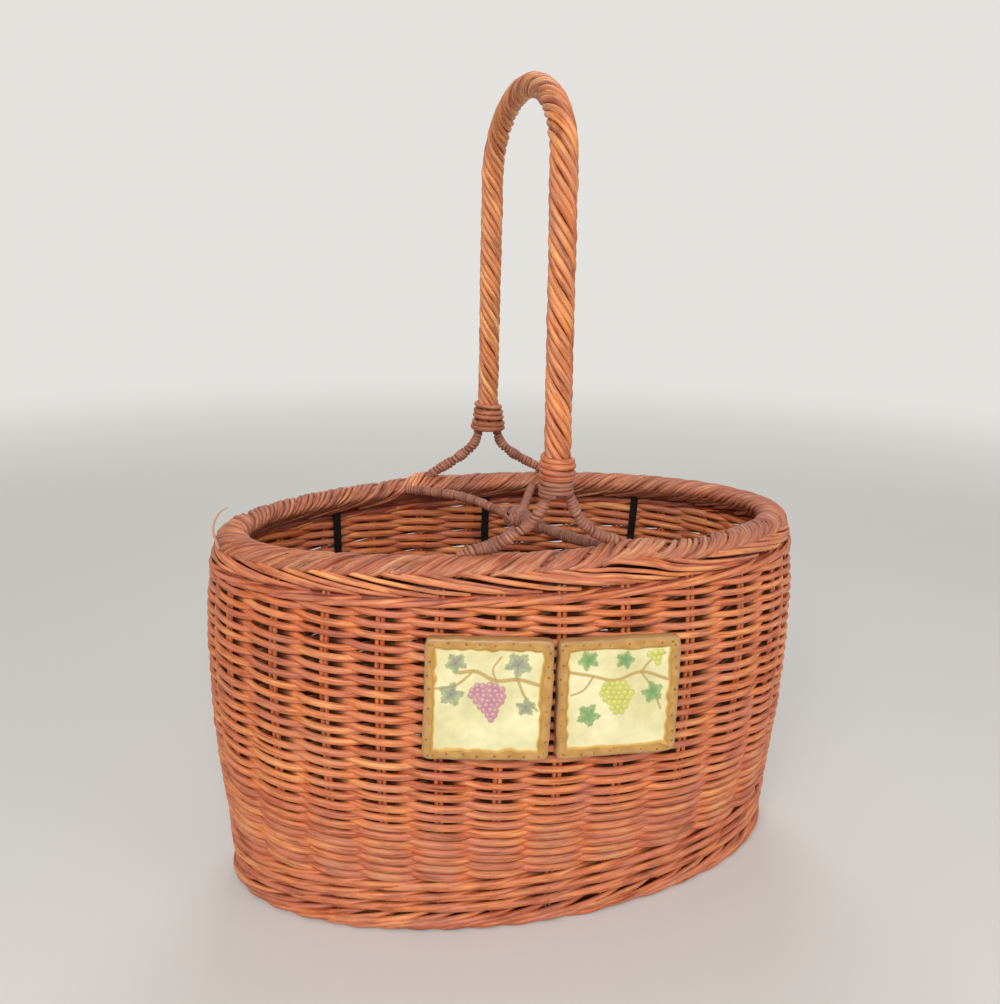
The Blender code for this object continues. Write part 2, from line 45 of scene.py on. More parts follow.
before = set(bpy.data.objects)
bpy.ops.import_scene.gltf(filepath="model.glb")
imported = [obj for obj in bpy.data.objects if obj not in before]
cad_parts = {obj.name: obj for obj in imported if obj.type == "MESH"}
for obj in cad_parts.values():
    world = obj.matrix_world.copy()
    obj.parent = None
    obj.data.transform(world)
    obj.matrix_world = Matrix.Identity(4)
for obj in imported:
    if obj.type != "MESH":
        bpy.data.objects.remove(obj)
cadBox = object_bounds()

mm = 0.001
fullTurn = 2 * math.pi

# the basket's own shape, as in the model: sizes of its oval at four levels, and its stakes
basket = {
    "moveBack": 5.925 * mm,
    "levels": (12 * mm, 114 * mm, 194 * mm, 215.7 * mm),
    "halfLengths": (180 * mm, 186.8 * mm, 184 * mm, 180.5 * mm),
    "halfWidths": (90.5 * mm, 99.4 * mm, 98.3 * mm, 95.5 * mm),
    "stakes": 26,
    # a stake's number, and how far on from its even place it stands, in stakes
    "stakeShifts": (
        (0, 0.06), (1, 0.13), (2, 0.37), (3, 0.54), (4, 0.59), (9, 0.15), (10, 0.10),
        (14, 0.40), (20, 0.50), (21, 0.48), (22, 0.37), (23, 0.25), (24, 0.15), (25, 0.09),
        (26, 0.06),
    ),
    "middleOfWall": -4.5 * mm,
}
stakes = basket["stakes"]


def addObject(name, data):
    piece = bpy.data.objects.new(name, data)
    bpy.context.scene.collection.objects.link(piece)
    return piece


def addCamera():
    view = {
        "place": (-130.315 * mm, -496.763 * mm, 384.575 * mm),
        "turn": 13.44457, "tilt": -16.26228, "roll": 0.90933,
        "lens": 31.6616, "filmWidth": 36, "nearest": 10 * mm,
    }
    turn, tilt, roll = (math.radians(view[key]) for key in ("turn", "tilt", "roll"))
    forward = Vector((math.sin(turn) * math.cos(tilt), math.cos(turn) * math.cos(tilt), math.sin(tilt)))
    level = Vector((math.cos(turn), -math.sin(turn), 0))
    above = level.cross(forward)
    right = level * math.cos(roll) + above * math.sin(roll)
    up = above * math.cos(roll) - level * math.sin(roll)
    data = bpy.data.cameras.new("camera")
    data.sensor_fit = "HORIZONTAL"
    data.sensor_width = view["filmWidth"]
    data.lens = view["lens"]
    data.clip_start = view["nearest"]
    camera = addObject("camera", data)
    facing = Matrix((right, up, -forward)).transposed().to_4x4()
    camera.matrix_world = Matrix.Translation(view["place"]) @ facing
    bpy.context.scene.camera = camera
    print("camera set")


def linear(hexColour):
    # an sRGB hex value as Blender's linear colour
    parts = [int(hexColour[start:start + 2], 16) / 255 for start in (1, 3, 5)]
    return tuple(p / 12.92 if p <= 0.04045 else ((p + 0.055) / 1.055) ** 2.4 for p in parts) + (1,)


def fillSockets(tree, node, inputs):
    # a value, a socket, or a node, which stands for the first output that it uses
    for socket, value in inputs.items():
        if isinstance(value, bpy.types.Node):
            value = next(output for output in value.outputs if output.enabled)
        if isinstance(value, bpy.types.NodeSocket):
            tree.links.new(value, node.inputs[socket])
        else:
            node.inputs[socket].default_value = value


def addNode(tree, kind, inputs=None, stops=(), **settings):
    # stops are a colour ramp's
    node = tree.nodes.new("ShaderNode" + kind)
    for key, value in settings.items():
        setattr(node, key, value)
    fillSockets(tree, node, inputs or {})
    for number, (position, colour) in enumerate(stops):
        if number == len(node.color_ramp.elements):
            node.color_ramp.elements.new(1)
        element = node.color_ramp.elements[number]
        element.position, element.color = position, linear(colour)
    return node


def newMaterial(name):
    # with its node tree and its shader
    material = bpy.data.materials.new(name)
    material.use_nodes = True
    return material, material.node_tree, material.node_tree.nodes["Principled BSDF"]


def seenRay(tree):
    # 1 for what the camera sees, straight or in gloss and glass
    path = addNode(tree, "LightPath").outputs
    either = addNode(tree, "Math", {0: path["Is Camera Ray"], 1: path["Is Glossy Ray"]}, operation="MAXIMUM")
    return addNode(tree, "Math", {0: either, 1: path["Is Transmission Ray"]}, operation="MAXIMUM")


def addStudio():
    studio = {
        "floorHalf": 6, "floorColour": "#D9D7D3", "floorRoughness": 0.9,
        "backColour": "#E4E2DE", "fadeFrom": 0.7, "fadeTo": 2.2,
        "worldStrength": 0.5, "aimLevel": 0.2,
        "lamps": (
            # name, place, size, watts
            ("keyLamp", (-0.9, -1.5, 1.5), 1.1, 18),
            ("fillLamp", (1.3, -1.1, 0.8), 1.2, 5.3),
            ("frontLamp", (-0.2, -1.2, 0.95), 0.5, 6.5),
            ("backLamp", (0.3, 1.3, 1.7), 1.0, 9),
        ),
    }
    bm = bmesh.new()
    bmesh.ops.create_grid(bm, x_segments=2, y_segments=2, size=studio["floorHalf"])
    mesh = bpy.data.meshes.new("floor")
    bm.to_mesh(mesh)
    bm.free()
    floor = addObject("floor", mesh)
    material, tree, shader = newMaterial("paleFloor")
    backColour = linear(studio["backColour"])
    floorColour = linear(studio["floorColour"])
    fillSockets(tree, shader, {"Base Color": floorColour, "Roughness": studio["floorRoughness"]})
    # the floor runs out into the backdrop, with no line between them
    place = addNode(tree, "TexCoord").outputs["Object"]
    away = addNode(tree, "VectorMath", {0: place}, operation="LENGTH")
    fade = addNode(
        tree, "MapRange", {"Value": away, "From Min": studio["fadeFrom"], "From Max": studio["fadeTo"]},
        interpolation_type="SMOOTHSTEP",
    )
    faded = addNode(tree, "Math", {0: fade, 1: seenRay(tree)}, operation="MULTIPLY")
    backdrop = addNode(tree, "Emission", {"Color": backColour})
    mixed = addNode(tree, "MixShader", {0: faded, 1: shader, 2: backdrop})
    fillSockets(tree, tree.nodes["Material Output"], {"Surface": mixed})
    mesh.materials.append(material)
    floor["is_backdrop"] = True

    world = bpy.data.worlds.new("studio")
    bpy.context.scene.world = world
    world.use_nodes = True
    tree = world.node_tree
    strength = addNode(tree, "MapRange", {
        "Value": seenRay(tree), "To Min": studio["worldStrength"], "To Max": 1})
    fillSockets(tree, tree.nodes["Background"], {"Color": backColour, "Strength": strength})

    for name, place, size, watts in studio["lamps"]:
        data = bpy.data.lights.new(name, "AREA")
        data.size = size
        data.energy = watts
        aim = Vector((0, 0, studio["aimLevel"])) - Vector(place)
        facing = aim.to_track_quat("-Z", "Y").to_matrix().to_4x4()
        addObject(name, data).matrix_world = Matrix.Translation(place) @ facing
    bpy.context.scene.view_settings.view_transform = "Standard"
    print(f"studio: floor, backdrop and {len(studio['lamps'])} lamps")


# the willow's patterns, in waves to the metre
willowPatterns = {
    "wrinkles": 520,  # of the bark, along a rod: 1 mm wide, three times their real width, so that they show
    "patches": 85,  # 12 mm, where the stain took unevenly
    "rubbing": 230,  # 4 mm, where it has rubbed off
    "cast": 60,  # 17 mm, in pink
    "clouds": 38,  # 26 mm, in mauve
}


def willowMaterial(name, finish):
    material, tree, shader = newMaterial(name)
    # rodShade is painted shade: darker in the wall's recesses and down inside the basket
    tone, worn, recess = (
        addNode(tree, "Attribute", attribute_name=layer).outputs["Fac"]
        for layer in ("rodTone", "rodWear", "rodShade")
    )
    space = addNode(tree, "Attribute", attribute_name="rodSpace").outputs["Vector"]
    place = addNode(tree, "TexCoord").outputs["Object"]
    wrinkleSpace, patchSpace, castSpace = (
        addNode(tree, "Mapping", {"Vector": space, "Scale": scale})
        for scale in ((0.1, 1, 1), (1, 3, 3), (0.5, 1.5, 1.5))
    )
    grain = addNode(tree, "TexNoise", {
        "Vector": wrinkleSpace, "Scale": willowPatterns["wrinkles"], "Detail": 4, "Roughness": 0.62})
    patches, rubbing, cast, clouds = (
        addNode(tree, "TexNoise", {"Vector": where, "Scale": willowPatterns[pattern], "Detail": detail})
        for where, pattern, detail in (
            (patchSpace, "patches", 3), (patchSpace, "rubbing", 4),
            (castSpace, "cast", 2), (place, "clouds", 3),
        )
    )
    # the stain by the rod's tone, its patches and its wrinkles
    shifted = addNode(tree, "Math", {0: patches, 1: 0.9, 2: -0.45}, operation="MULTIPLY_ADD")
    grained = addNode(tree, "Math", {0: grain, 1: 1.1, 2: -0.55}, operation="MULTIPLY_ADD")
    level = addNode(tree, "Math", {0: tone, 1: shifted}, operation="ADD")
    level = addNode(tree, "Math", {0: level, 1: grained}, operation="ADD", use_clamp=True)
    stain = addNode(tree, "ValToRGB", {"Fac": level}, stops=zip((0, 0.3, 0.5, 0.72, 1), finish["stain"]))
    # where rods stand out, the stain has rubbed off
    wearEdge = addNode(tree, "MapRange", {"Value": rubbing, "From Min": 0.35, "From Max": 0.6})
    wearShare = addNode(tree, "Math", {0: worn, 1: wearEdge}, operation="MULTIPLY", use_clamp=True)
    # pink cast, stretch by stretch along each rod, and a mauve bloom in broad clouds over the whole weave
    castShare = addNode(tree, "MapRange", {"Value": cast, "From Min": 0.48, "From Max": 0.62, "To Max": 0.6})
    bloom = addNode(tree, "MapRange", {"Value": clouds, "From Min": 0.5, "From Max": 0.72, "To Max": 0.45})
    colour = stain
    for share, part in ((wearShare, "worn"), (castShare, "cast"), (bloom, "bloom")):
        mixed = {"Factor": share, "A": colour, "B": linear(finish[part])}
        colour = addNode(tree, "Mix", mixed, data_type="RGBA")
    # darker again in the grooves of the bark, and by the painted shade where rods run deep between the others
    # and inside the basket
    grooves = addNode(tree, "MapRange", {
        "Value": grain, "From Min": 0.3, "From Max": 0.52, "To Min": 0.62, "To Max": 1.06})
    shade = addNode(tree, "Math", {0: grooves, 1: recess}, operation="MULTIPLY")
    roughness = finish["roughness"]
    fillSockets(tree, shader, {
        "Base Color": addNode(tree, "VectorMath", {0: colour, "Scale": shade}, operation="SCALE"),
        "Roughness": addNode(tree, "MapRange", {
            "Value": grain, "From Min": 0.3, "From Max": 0.7,
            "To Min": roughness + 0.12, "To Max": roughness - 0.08}),
        # no shine where little light comes in
        "Specular IOR Level": addNode(tree, "Math", {0: recess, 1: 0.5}, operation="MULTIPLY"),
        "Normal": addNode(tree, "Bump", {"Height": grain, "Strength": 0.7, "Distance": 0.5 * mm}),
    })
    return material


def steelMaterial(name):
    material, tree, shader = newMaterial(name)
    place = addNode(tree, "TexCoord").outputs["Object"]
    # flecks in the paint, 2.4 mm
    flecks = addNode(tree, "TexNoise", {"Vector": place, "Scale": 420, "Detail": 4})
    fillSockets(tree, shader, {
        "Base Color": addNode(tree, "ValToRGB", {"Fac": flecks}, stops=((0.35, "#0E0D0D"), (0.7, "#1E1B19"))),
        "Roughness": addNode(tree, "MapRange", {"Value": flecks, "To Min": 0.32, "To Max": 0.55}),
        "Normal": addNode(tree, "Bump", {"Height": flecks, "Strength": 0.2, "Distance": 0.1 * mm}),
    })
    return material


def resinMaterial(name):
    material, tree, shader = newMaterial(name)
    paint = addNode(tree, "Attribute", attribute_name="tilePaint").outputs["Color"]
    place = addNode(tree, "TexCoord").outputs["Object"]
    # the wash pooled in spots of 6 mm
    wash = addNode(tree, "TexNoise", {"Vector": place, "Scale": 170, "Detail": 4})
    pooled = addNode(tree, "MapRange", {
        "Value": wash, "From Min": 0.3, "From Max": 0.7, "To Min": 0.90, "To Max": 1.05})
    fillSockets(tree, shader, {
        "Base Color": addNode(tree, "VectorMath", {0: paint, "Scale": pooled}, operation="SCALE"),
        "Roughness": 0.38,
        "Normal": addNode(tree, "Bump", {"Height": wash, "Strength": 0.25, "Distance": 0.2 * mm}),
    })
    return material


def makeMaterials():
    # each willow's stain from dark to light, then its rubbed places, its pink cast and its mauve bloom
    finishes = {
        # willow with its bark on, boiled and stained terracotta: satin, streaked along each rod
        "stainedWillow": {
            "stain": ("#8A3218", "#B5552C", "#CD6D3C", "#DD844B", "#EFA566"),
            "worn": "#CC9A70", "cast": "#C87458", "bloom": "#B26C5A", "roughness": 0.48,
        },
        # the rim's thinner rods: the same stain, a little more mauve and dusty
        "stainedWillowRim": {
            "stain": ("#6E2A16", "#9C4A2C", "#B2603A", "#C6764C", "#E0A06E"),
            "worn": "#C69874", "cast": "#AE6450", "bloom": "#9A6254", "roughness": 0.52,
        },
        # peeled willow under a warm varnish, worn smooth by hands: the brightest orange
        "varnishedWillow": {
            "stain": ("#8E3C1A", "#C06630", "#D47C40", "#E49452", "#F4B676"),
            "worn": "#DCA474", "cast": "#C87856", "bloom": "#BC7A5E", "roughness": 0.42,
        },
        # split cane bound round rods, dusty and matt: brown with a pink cast
        "boundCane": {
            "stain": ("#562818", "#80422C", "#9A583E", "#B26E52", "#D09674"),
            "worn": "#AC8872", "cast": "#9A5A4A", "bloom": "#866250", "roughness": 0.56,
        },
    }
    materials = {name: willowMaterial(name, finish) for name, finish in finishes.items()}
    # rolled steel strap under black paint: satin, a little chalky
    materials["blackPaintedSteel"] = steelMaterial("blackPaintedSteel")
    # cast resin, painted by hand in thin washes: eggshell gloss, pooled colour
    materials["paintedResin"] = resinMaterial("paintedResin")
    print(f"{len(materials)} materials")
    return materials


def smoothBetween(at, places, values):
    # a smooth line through the values, which stand at the places
    places, values = np.array(places), np.array(values, float)
    slopes = np.gradient(values, places, axis=0)
    index = np.clip(np.searchsorted(places, at) - 1, 0, len(places) - 2)
    step = places[index + 1] - places[index]
    share = (at - places[index]) / step
    if values.ndim > 1:
        step, share = step[:, None], share[:, None]
    square, cube = share ** 2, share ** 3
    return (
        (2 * cube - 3 * square + 1) * values[index] + (cube - 2 * square + share) * step * slopes[index]
        + (3 * square - 2 * cube) * values[index + 1] + (cube - square) * step * slopes[index + 1]
    )


def runAlong(points):
    # how far each point is from the first, along the line
    return np.concatenate([[0], np.cumsum(np.linalg.norm(np.diff(points, axis=0), axis=1))])


def smoothPath(points, step):
    run = runAlong(points)
    return smoothBetween(np.linspace(0, run[-1], max(3, round(run[-1] / step) + 1)), run, points)


def sizeAt(level, key):
    # the oval's half length or half width at this level
    levels = basket["levels"]
    return smoothBetween(np.clip(level, levels[0], levels[-1]), levels, basket[key])


# the oval twice round from the middle of the front, as angles and lengths
ovalAngles = np.linspace(-math.pi / 2, 7 * math.pi / 2, 5761)
ovalLengths = runAlong(np.column_stack((
    basket["halfLengths"][1] * np.cos(ovalAngles), basket["halfWidths"][1] * np.sin(ovalAngles))))
stakeSpacing = ovalLengths[-1] / 2 / stakes


def angleAt(place):
    # place counts stakes round the oval, from the middle of the front to the right
    turns = np.floor(np.asarray(place, float) / stakes)
    within = place - turns * stakes
    within = within + np.interp(within, *zip(*basket["stakeShifts"]))
    return np.interp(within * stakeSpacing, ovalLengths, ovalAngles) + turns * fullTurn


def onWall(place, level, out):
    # a point this far outside the wall's outer face
    angle = angleAt(place)
    x = (sizeAt(level, "halfLengths") + out) * np.cos(angle)
    y = (sizeAt(level, "halfWidths") + out) * np.sin(angle) + basket["moveBack"]
    return np.column_stack(np.broadcast_arrays(x, y, level))


def roundPlaces(count):
    # evenly once round the oval, for rings that close
    return np.linspace(0, stakes, count, endpoint=False)


def drift(place, level, seed, size):
    # slow waves that close up after one turn, as hands make them
    rng = np.random.default_rng(seed)
    total = 0
    for waves in (2, 3, 5, 8):
        lean = rng.uniform(-40, 40)
        total = total + np.sin(fullTurn * waves * place / stakes + lean * level + rng.uniform(0, 6.3)) / 2
    return total * size


def framesAlong(path, side):
    # at each point the line's own direction and two across it, turned no more than the line is
    tangents = np.gradient(path, axis=0)
    tangents /= np.linalg.norm(tangents, axis=1)[:, None]
    sides, current = [], np.array(side, float)
    for tangent in tangents:
        current = current - tangent * (current @ tangent)
        current /= np.linalg.norm(current)
        sides.append(current)
    sides = np.array(sides)
    return tangents, sides, np.cross(tangents, sides)


def windRound(path, radius, pitch, start=0.0, hand=1):
    # turns round a path whose points lie closer together than the turns
    run = runAlong(path)
    turns = np.concatenate([[0], np.cumsum(np.diff(run) / np.broadcast_to(pitch, len(run))[1:])])
    turn = start + hand * fullTurn * turns
    tangents, sides, ups = framesAlong(path, (1, 0.01, 0.02))
    radius = np.broadcast_to(radius, len(run))
    return path + radius[:, None] * (np.cos(turn)[:, None] * sides + np.sin(turn)[:, None] * ups)


def pastEnd(end, beside, reach):
    # two points in line with a rod, past its end
    outward = (end - beside) / np.linalg.norm(end - beside)
    return [end + outward * reach * share for share in (0.22, 0.34)]


def rod(points, size, tone, wear=0.0, closed=False):
    # one rod: its line, its half thickness, how light its stain is and how worn it is
    size, tone, wear = (np.broadcast_to(np.asarray(v, float), len(points)) for v in (size, tone, wear))
    if not closed:
        # its ends round off over two more points each
        start, end = pastEnd(points[0], points[1], size[0]), pastEnd(points[-1], points[-2], size[-1])
        points = np.vstack([start[::-1], points, end])
        size = np.concatenate([[0, size[0] * 0.8], size, [size[-1] * 0.8, 0]])
        tone, wear = (np.pad(v, 2, mode="edge") for v in (tone, wear))
    return {"points": points, "size": size, "tone": tone, "wear": wear, "closed": closed}


def sectionOutline(sides, thick):
    # a flattened rod's section, 1 mm in half height
    outline = bpy.data.curves.new("section", "CURVE")
    outline.dimensions = "2D"
    spline = outline.splines.new("POLY")
    spline.points.add(sides - 1)
    for index, point in enumerate(spline.points):
        turn = -fullTurn * index / sides
        point.co = (thick * mm * math.cos(turn), mm * math.sin(turn), 0, 1)
    spline.use_cyclic_u = True
    return addObject("section", outline)


def sweepRods(name, rods, sides, thick):
    # one tube along each rod's line, all in one mesh
    curve = bpy.data.curves.new(name, "CURVE")
    curve.dimensions = "3D"
    section = sectionOutline(sides, thick) if thick else None
    if section:
        curve.bevel_mode, curve.bevel_object, curve.twist_mode = "OBJECT", section, "Z_UP"
    else:
        curve.bevel_depth, curve.bevel_resolution = mm, (sides - 4) // 2
    for one in rods:
        spline = curve.splines.new("POLY")
        spline.points.add(len(one["points"]) - 1)
        spline.points.foreach_set("co", np.insert(one["points"], 3, 1, axis=1).ravel())
        spline.points.foreach_set("radius", one["size"] / mm)
        spline.use_cyclic_u = one["closed"]
    helper = addObject(name, curve)
    graph = bpy.context.evaluated_depsgraph_get()
    mesh = bpy.data.meshes.new_from_object(helper.evaluated_get(graph))
    bpy.data.objects.remove(helper, do_unlink=True)
    bpy.data.curves.remove(curve)
    if section:
        bpy.data.objects.remove(section, do_unlink=True)
    mesh.name = name
    return mesh


def rodSpaces(rods, sides, seed):
    # along and across each rod, from a place of its own in the patterns
    rng = np.random.default_rng(seed)
    ring = fullTurn * np.arange(sides) / sides
    spaces = []
    for one in rods:
        count = len(one["points"])
        along = runAlong(one["points"]) + rng.uniform(0, 40)
        girth = one["size"].max()
        across, upward = np.tile(girth * np.cos(ring), count), np.tile(girth * np.sin(ring), count)
        spaces.append(np.column_stack((np.repeat(along, sides), across, upward + rng.uniform(0, 1))))
    return np.vstack(spaces)


def paintedRecessShade(corners, middles):
    # painted shade: darker where a rod runs deep in the wall, as seen from outside or from inside
    recess = {
        "from": 2.0 * mm, "reach": 1.5 * mm, "darkest": 0.06,
        # the inside's painted shade also deepens towards its floor
        "insideLevels": (95 * mm, 160 * mm, 205 * mm), "insideShades": (0.22, 0.84, 1.0),
        # tops and undersides go by the side that the light comes to:
        # outside in the front wall, inside in the rear one
        "northward": (-0.3, 0.3), "fromOutside": (1, 0.6), "fromInside": (0.06, 1),
    }
    length, width = (sizeAt(middles[:, 2], key) for key in ("halfLengths", "halfWidths"))
    place = np.column_stack((middles[:, 0] / length, (middles[:, 1] - basket["moveBack"]) / width))
    distance = np.linalg.norm(place, axis=1)
    slope = place / np.column_stack((length, width)) / distance[:, None]
    steepness = np.linalg.norm(slope, axis=1)
    depth = (distance - 1) / steepness - basket["middleOfWall"]
    aside = corners - middles
    facing = (aside[:, :2] * slope).sum(axis=1) / steepness
    facing = facing / np.maximum(np.linalg.norm(aside, axis=1), 0.01 * mm)
    outside = np.clip((recess["from"] + depth) / recess["reach"], 0, 1)
    inside = np.clip((recess["from"] - depth) / recess["reach"], 0, 1)
    inside = inside * np.interp(corners[:, 2], recess["insideLevels"], recess["insideShades"])
    northward = slope[:, 1] / steepness
    flat = np.maximum(
        outside * np.interp(northward, recess["northward"], recess["fromOutside"]),
        inside * np.interp(northward, recess["northward"], recess["fromInside"]),
    )
    lit = np.where(facing > 0, outside, inside) * np.abs(facing) + flat * (1 - np.abs(facing))
    return recess["darkest"] + (1 - recess["darkest"]) * lit


def finishPiece(name, mesh, material, replaced):
    # a piece's look, and what it stands for in the model
    mesh.materials.clear()
    mesh.materials.append(materials[material])
    piece = addObject(name, mesh)
    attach(piece, "root")
    if replaced:
        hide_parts(*replaced)


def layRods(name, rods, material, replaced=(), sides=8, thick=None, seed=1, paintRecessShade=False, shade=1.0):
    # all the rods of one piece as one mesh; thick is the section's width as a share of its height; shade is a
    # painted shade over all its rods, and recessed paints shade where they run deep in the wall
    mesh = sweepRods(name, rods, sides, thick)
    middles, tones, wears = (
        np.concatenate([np.repeat(one[key], sides, axis=0) for one in rods])
        for key in ("points", "tone", "wear")
    )
    shades = np.full(len(mesh.vertices), shade)
    if paintRecessShade:
        corners = np.empty(len(mesh.vertices) * 3)
        mesh.vertices.foreach_get("co", corners)
        shades = paintedRecessShade(corners.reshape(-1, 3), middles)
    for layer, kind, field, values in (
        ("rodSpace", "FLOAT_VECTOR", "vector", rodSpaces(rods, sides, seed)),
        ("rodTone", "FLOAT", "value", tones),
        ("rodWear", "FLOAT", "value", wears),
        ("rodShade", "FLOAT", "value", shades),
    ):
        mesh.attributes.new(layer, kind, "POINT").data.foreach_set(field, values.astype(np.float32).ravel())
    bm = bmesh.new()
    bm.from_mesh(mesh)
    bmesh.ops.remove_doubles(bm, verts=bm.verts, dist=0.002 * mm)
    bmesh.ops.recalc_face_normals(bm, faces=bm.faces)
    bm.to_mesh(mesh)
    bm.free()
    mesh.shade_smooth()
    finishPiece(name, mesh, material, replaced)
    print(f"{name}: {len(rods)} rods, {len(mesh.vertices)} points")


def makeStakes():
    stake = {
        "half": 1.35 * mm, "halfSpread": (0.92, 1.05), "halfGap": 1.55 * mm, "bottom": 8 * mm, "top": 214 * mm,
        "wobble": 0.12 * mm, "wobbleWave": 90, "tones": (0.35, 0.6),
    }
    rng = np.random.default_rng(3)
    rods = []
    levels = np.linspace(stake["bottom"], stake["top"], 40)
    for number in range(stakes):
        for side in (-1, 1):
            wobble = stake["wobble"] * np.sin(levels * stake["wobbleWave"] + rng.uniform(0, 6.3))
            place = number + (side * stake["halfGap"] + wobble) / stakeSpacing
            points = onWall(place, levels, basket["middleOfWall"])
            half = stake["half"] * rng.uniform(*stake["halfSpread"])
            rods.append(rod(points, half, rng.uniform(*stake["tones"])))
    nodes = [f"stake_{number:02d}" for number in range(1, stakes + 1)]
    layRods("stakeRods", rods, "stainedWillow", nodes, seed=31)


# paired rods: at each stake one passes in front and one behind, and they cross between
weave = {
    "lowest": 38.4 * mm, "highest": 206 * mm, "split": 108 * mm,
    "pitches": (
        (30 * mm, 5.8 * mm), (60 * mm, 5.8 * mm), (76 * mm, 6.4 * mm), (90 * mm, 6.9 * mm),
        (140 * mm, 7.15 * mm), (165 * mm, 7.0 * mm), (178 * mm, 6.4 * mm), (205 * mm, 6.1 * mm),
    ),
    "halfHeights": (
        (40 * mm, 2.5 * mm), (68 * mm, 2.42 * mm), (88 * mm, 2.27 * mm), (140 * mm, 2.18 * mm),
        (180 * mm, 2.06 * mm), (205 * mm, 2.0 * mm),
    ),
    # each rod comes out half a stake before one and goes in half a stake after it,
    # high where it comes out and low where it goes in, so that the two lie one above the other between stakes
    "swing": 2.35 * mm, "fullness": 1.3, "bulge": 0.16 * mm, "thick": 0.86, "pointsPerStake": 12,
    # outer strokes sag a little in the front wall and in the rear one, inner ones arch
    "sagNorthward": (-0.6, 0.6), "sags": (-0.1, -0.32),
    # strokes turned away from the light side lie fuller, and close the wall
    "fuller": 0.42, "rearFuller": 0.15, "northward": 0.3,
    "rowLift": 0.2 * mm, "drift": 0.55 * mm, "taper": (1.07, 0.93), "halfSpread": (0.94, 1.06),
    # a rod's length in pairs of stakes, the shortest rest of a row, and how far two rods overlap
    "pairs": (3, 7), "shortestRest": 5, "overlap": 0.1,
    "tone": 0.54, "toneSpread": 0.1, "rodTone": 0.04, "rodToneSpread": 0.06,
    # towards the foot the rods are darker, a painted shade, and more worn
    "footLevels": (45 * mm, 95 * mm), "footShade": 0.1, "shine": 0.25, "footShine": 0.6,
}


def weaveRows(rng):
    # each row from the foot up, with the tone, the wear and the bulge of its strokes
    level = weave["lowest"]
    while level < weave["highest"]:
        pitch = np.interp(level, *zip(*weave["pitches"]))
        yield {
            "level": level, "pitch": pitch,
            "tone": np.clip(rng.normal(weave["tone"], weave["toneSpread"], stakes), 0.05, 0.98),
            "wear": rng.uniform(0.1, 1, stakes),
            "bulge": rng.normal(0, weave["bulge"], stakes),
            "lift": rng.normal(0, weave["rowLift"]),
        }
        level += pitch


def eased(values):
    # a run of values with its corners taken off
    wide = np.concatenate([values[:1], values, values[-1:]])
    return (wide[:-2] + 2 * wide[1:-1] + wide[2:]) / 4


def weaveRod(row, lane, start, stop, rng):
    # one rod in and out of the stakes from start to stop
    count = (stop - start) * weave["pointsPerStake"] + 1
    place = np.linspace(start - weave["overlap"], stop + weave["overlap"], count)
    share = (place - lane + 0.5) % 2
    wave = np.sin(math.pi * share)
    front = np.tanh(weave["fullness"] * wave) / math.tanh(weave["fullness"])
    northward = np.sin(angleAt(place))
    strokes = np.arange(start - 2, stop + 3)
    strokes = strokes[(strokes - lane) % 2 == 0]
    tone, wear, bulge = (
        np.interp(place, strokes, row[key][strokes % stakes]) for key in ("tone", "wear", "bulge")
    )
    sag = np.interp(northward, weave["sagNorthward"], weave["sags"])
    rise = row["pitch"] / 4 * (eased(2 * np.abs(share - 1) - 1) + sag * wave)
    rise = rise + row["lift"] + drift(place, row["level"], 5, weave["drift"])
    out = basket["middleOfWall"] + weave["swing"] * front + bulge * np.clip(front, 0, 1)
    taper = np.linspace(*weave["taper"], count) * rng.uniform(*weave["halfSpread"])
    rear = np.clip(northward / weave["northward"], -1, 1)
    fuller = 1 + weave["fuller"] * np.clip(front * rear, 0, 1) + weave["rearFuller"] * np.clip(rear, 0, 1)
    half = np.interp(row["level"], *zip(*weave["halfHeights"])) * taper * fuller
    low = np.interp(row["level"], weave["footLevels"], (1, 0))
    # the tone drops towards the foot as painted shade
    tone = tone + rng.normal(0, weave["rodToneSpread"]) + weave["rodTone"] - weave["footShade"] * low
    wear = np.clip(front, 0, 1) ** 2 * wear * (weave["shine"] + weave["footShine"] * low)
    return rod(onWall(place, row["level"] + rise, out), half, tone, wear)


def makeSideWeave():
    rng = np.random.default_rng(7)
    lower, upper = [], []
    for row in weaveRows(rng):
        for lane in (0, 1):
            start = lane + 1 + 2 * rng.integers(0, stakes // 2)
            end = start + stakes
            while start < end:
                stop = min(start + 2 * int(rng.integers(*weave["pairs"])), end)
                if end - stop < weave["shortestRest"]:
                    stop = end
                one = weaveRod(row, lane, start, stop, rng)
                (lower if row["level"] < weave["split"] else upper).append(one)
                start = stop
    for name, rods, seed in (("sideRods_lower", lower, 71), ("sideRods_upper", upper, 72)):
        layRods(
            name, rods, "stainedWillow", ["side_weave"],
            thick=weave["thick"], seed=seed, paintRecessShade=True,
        )


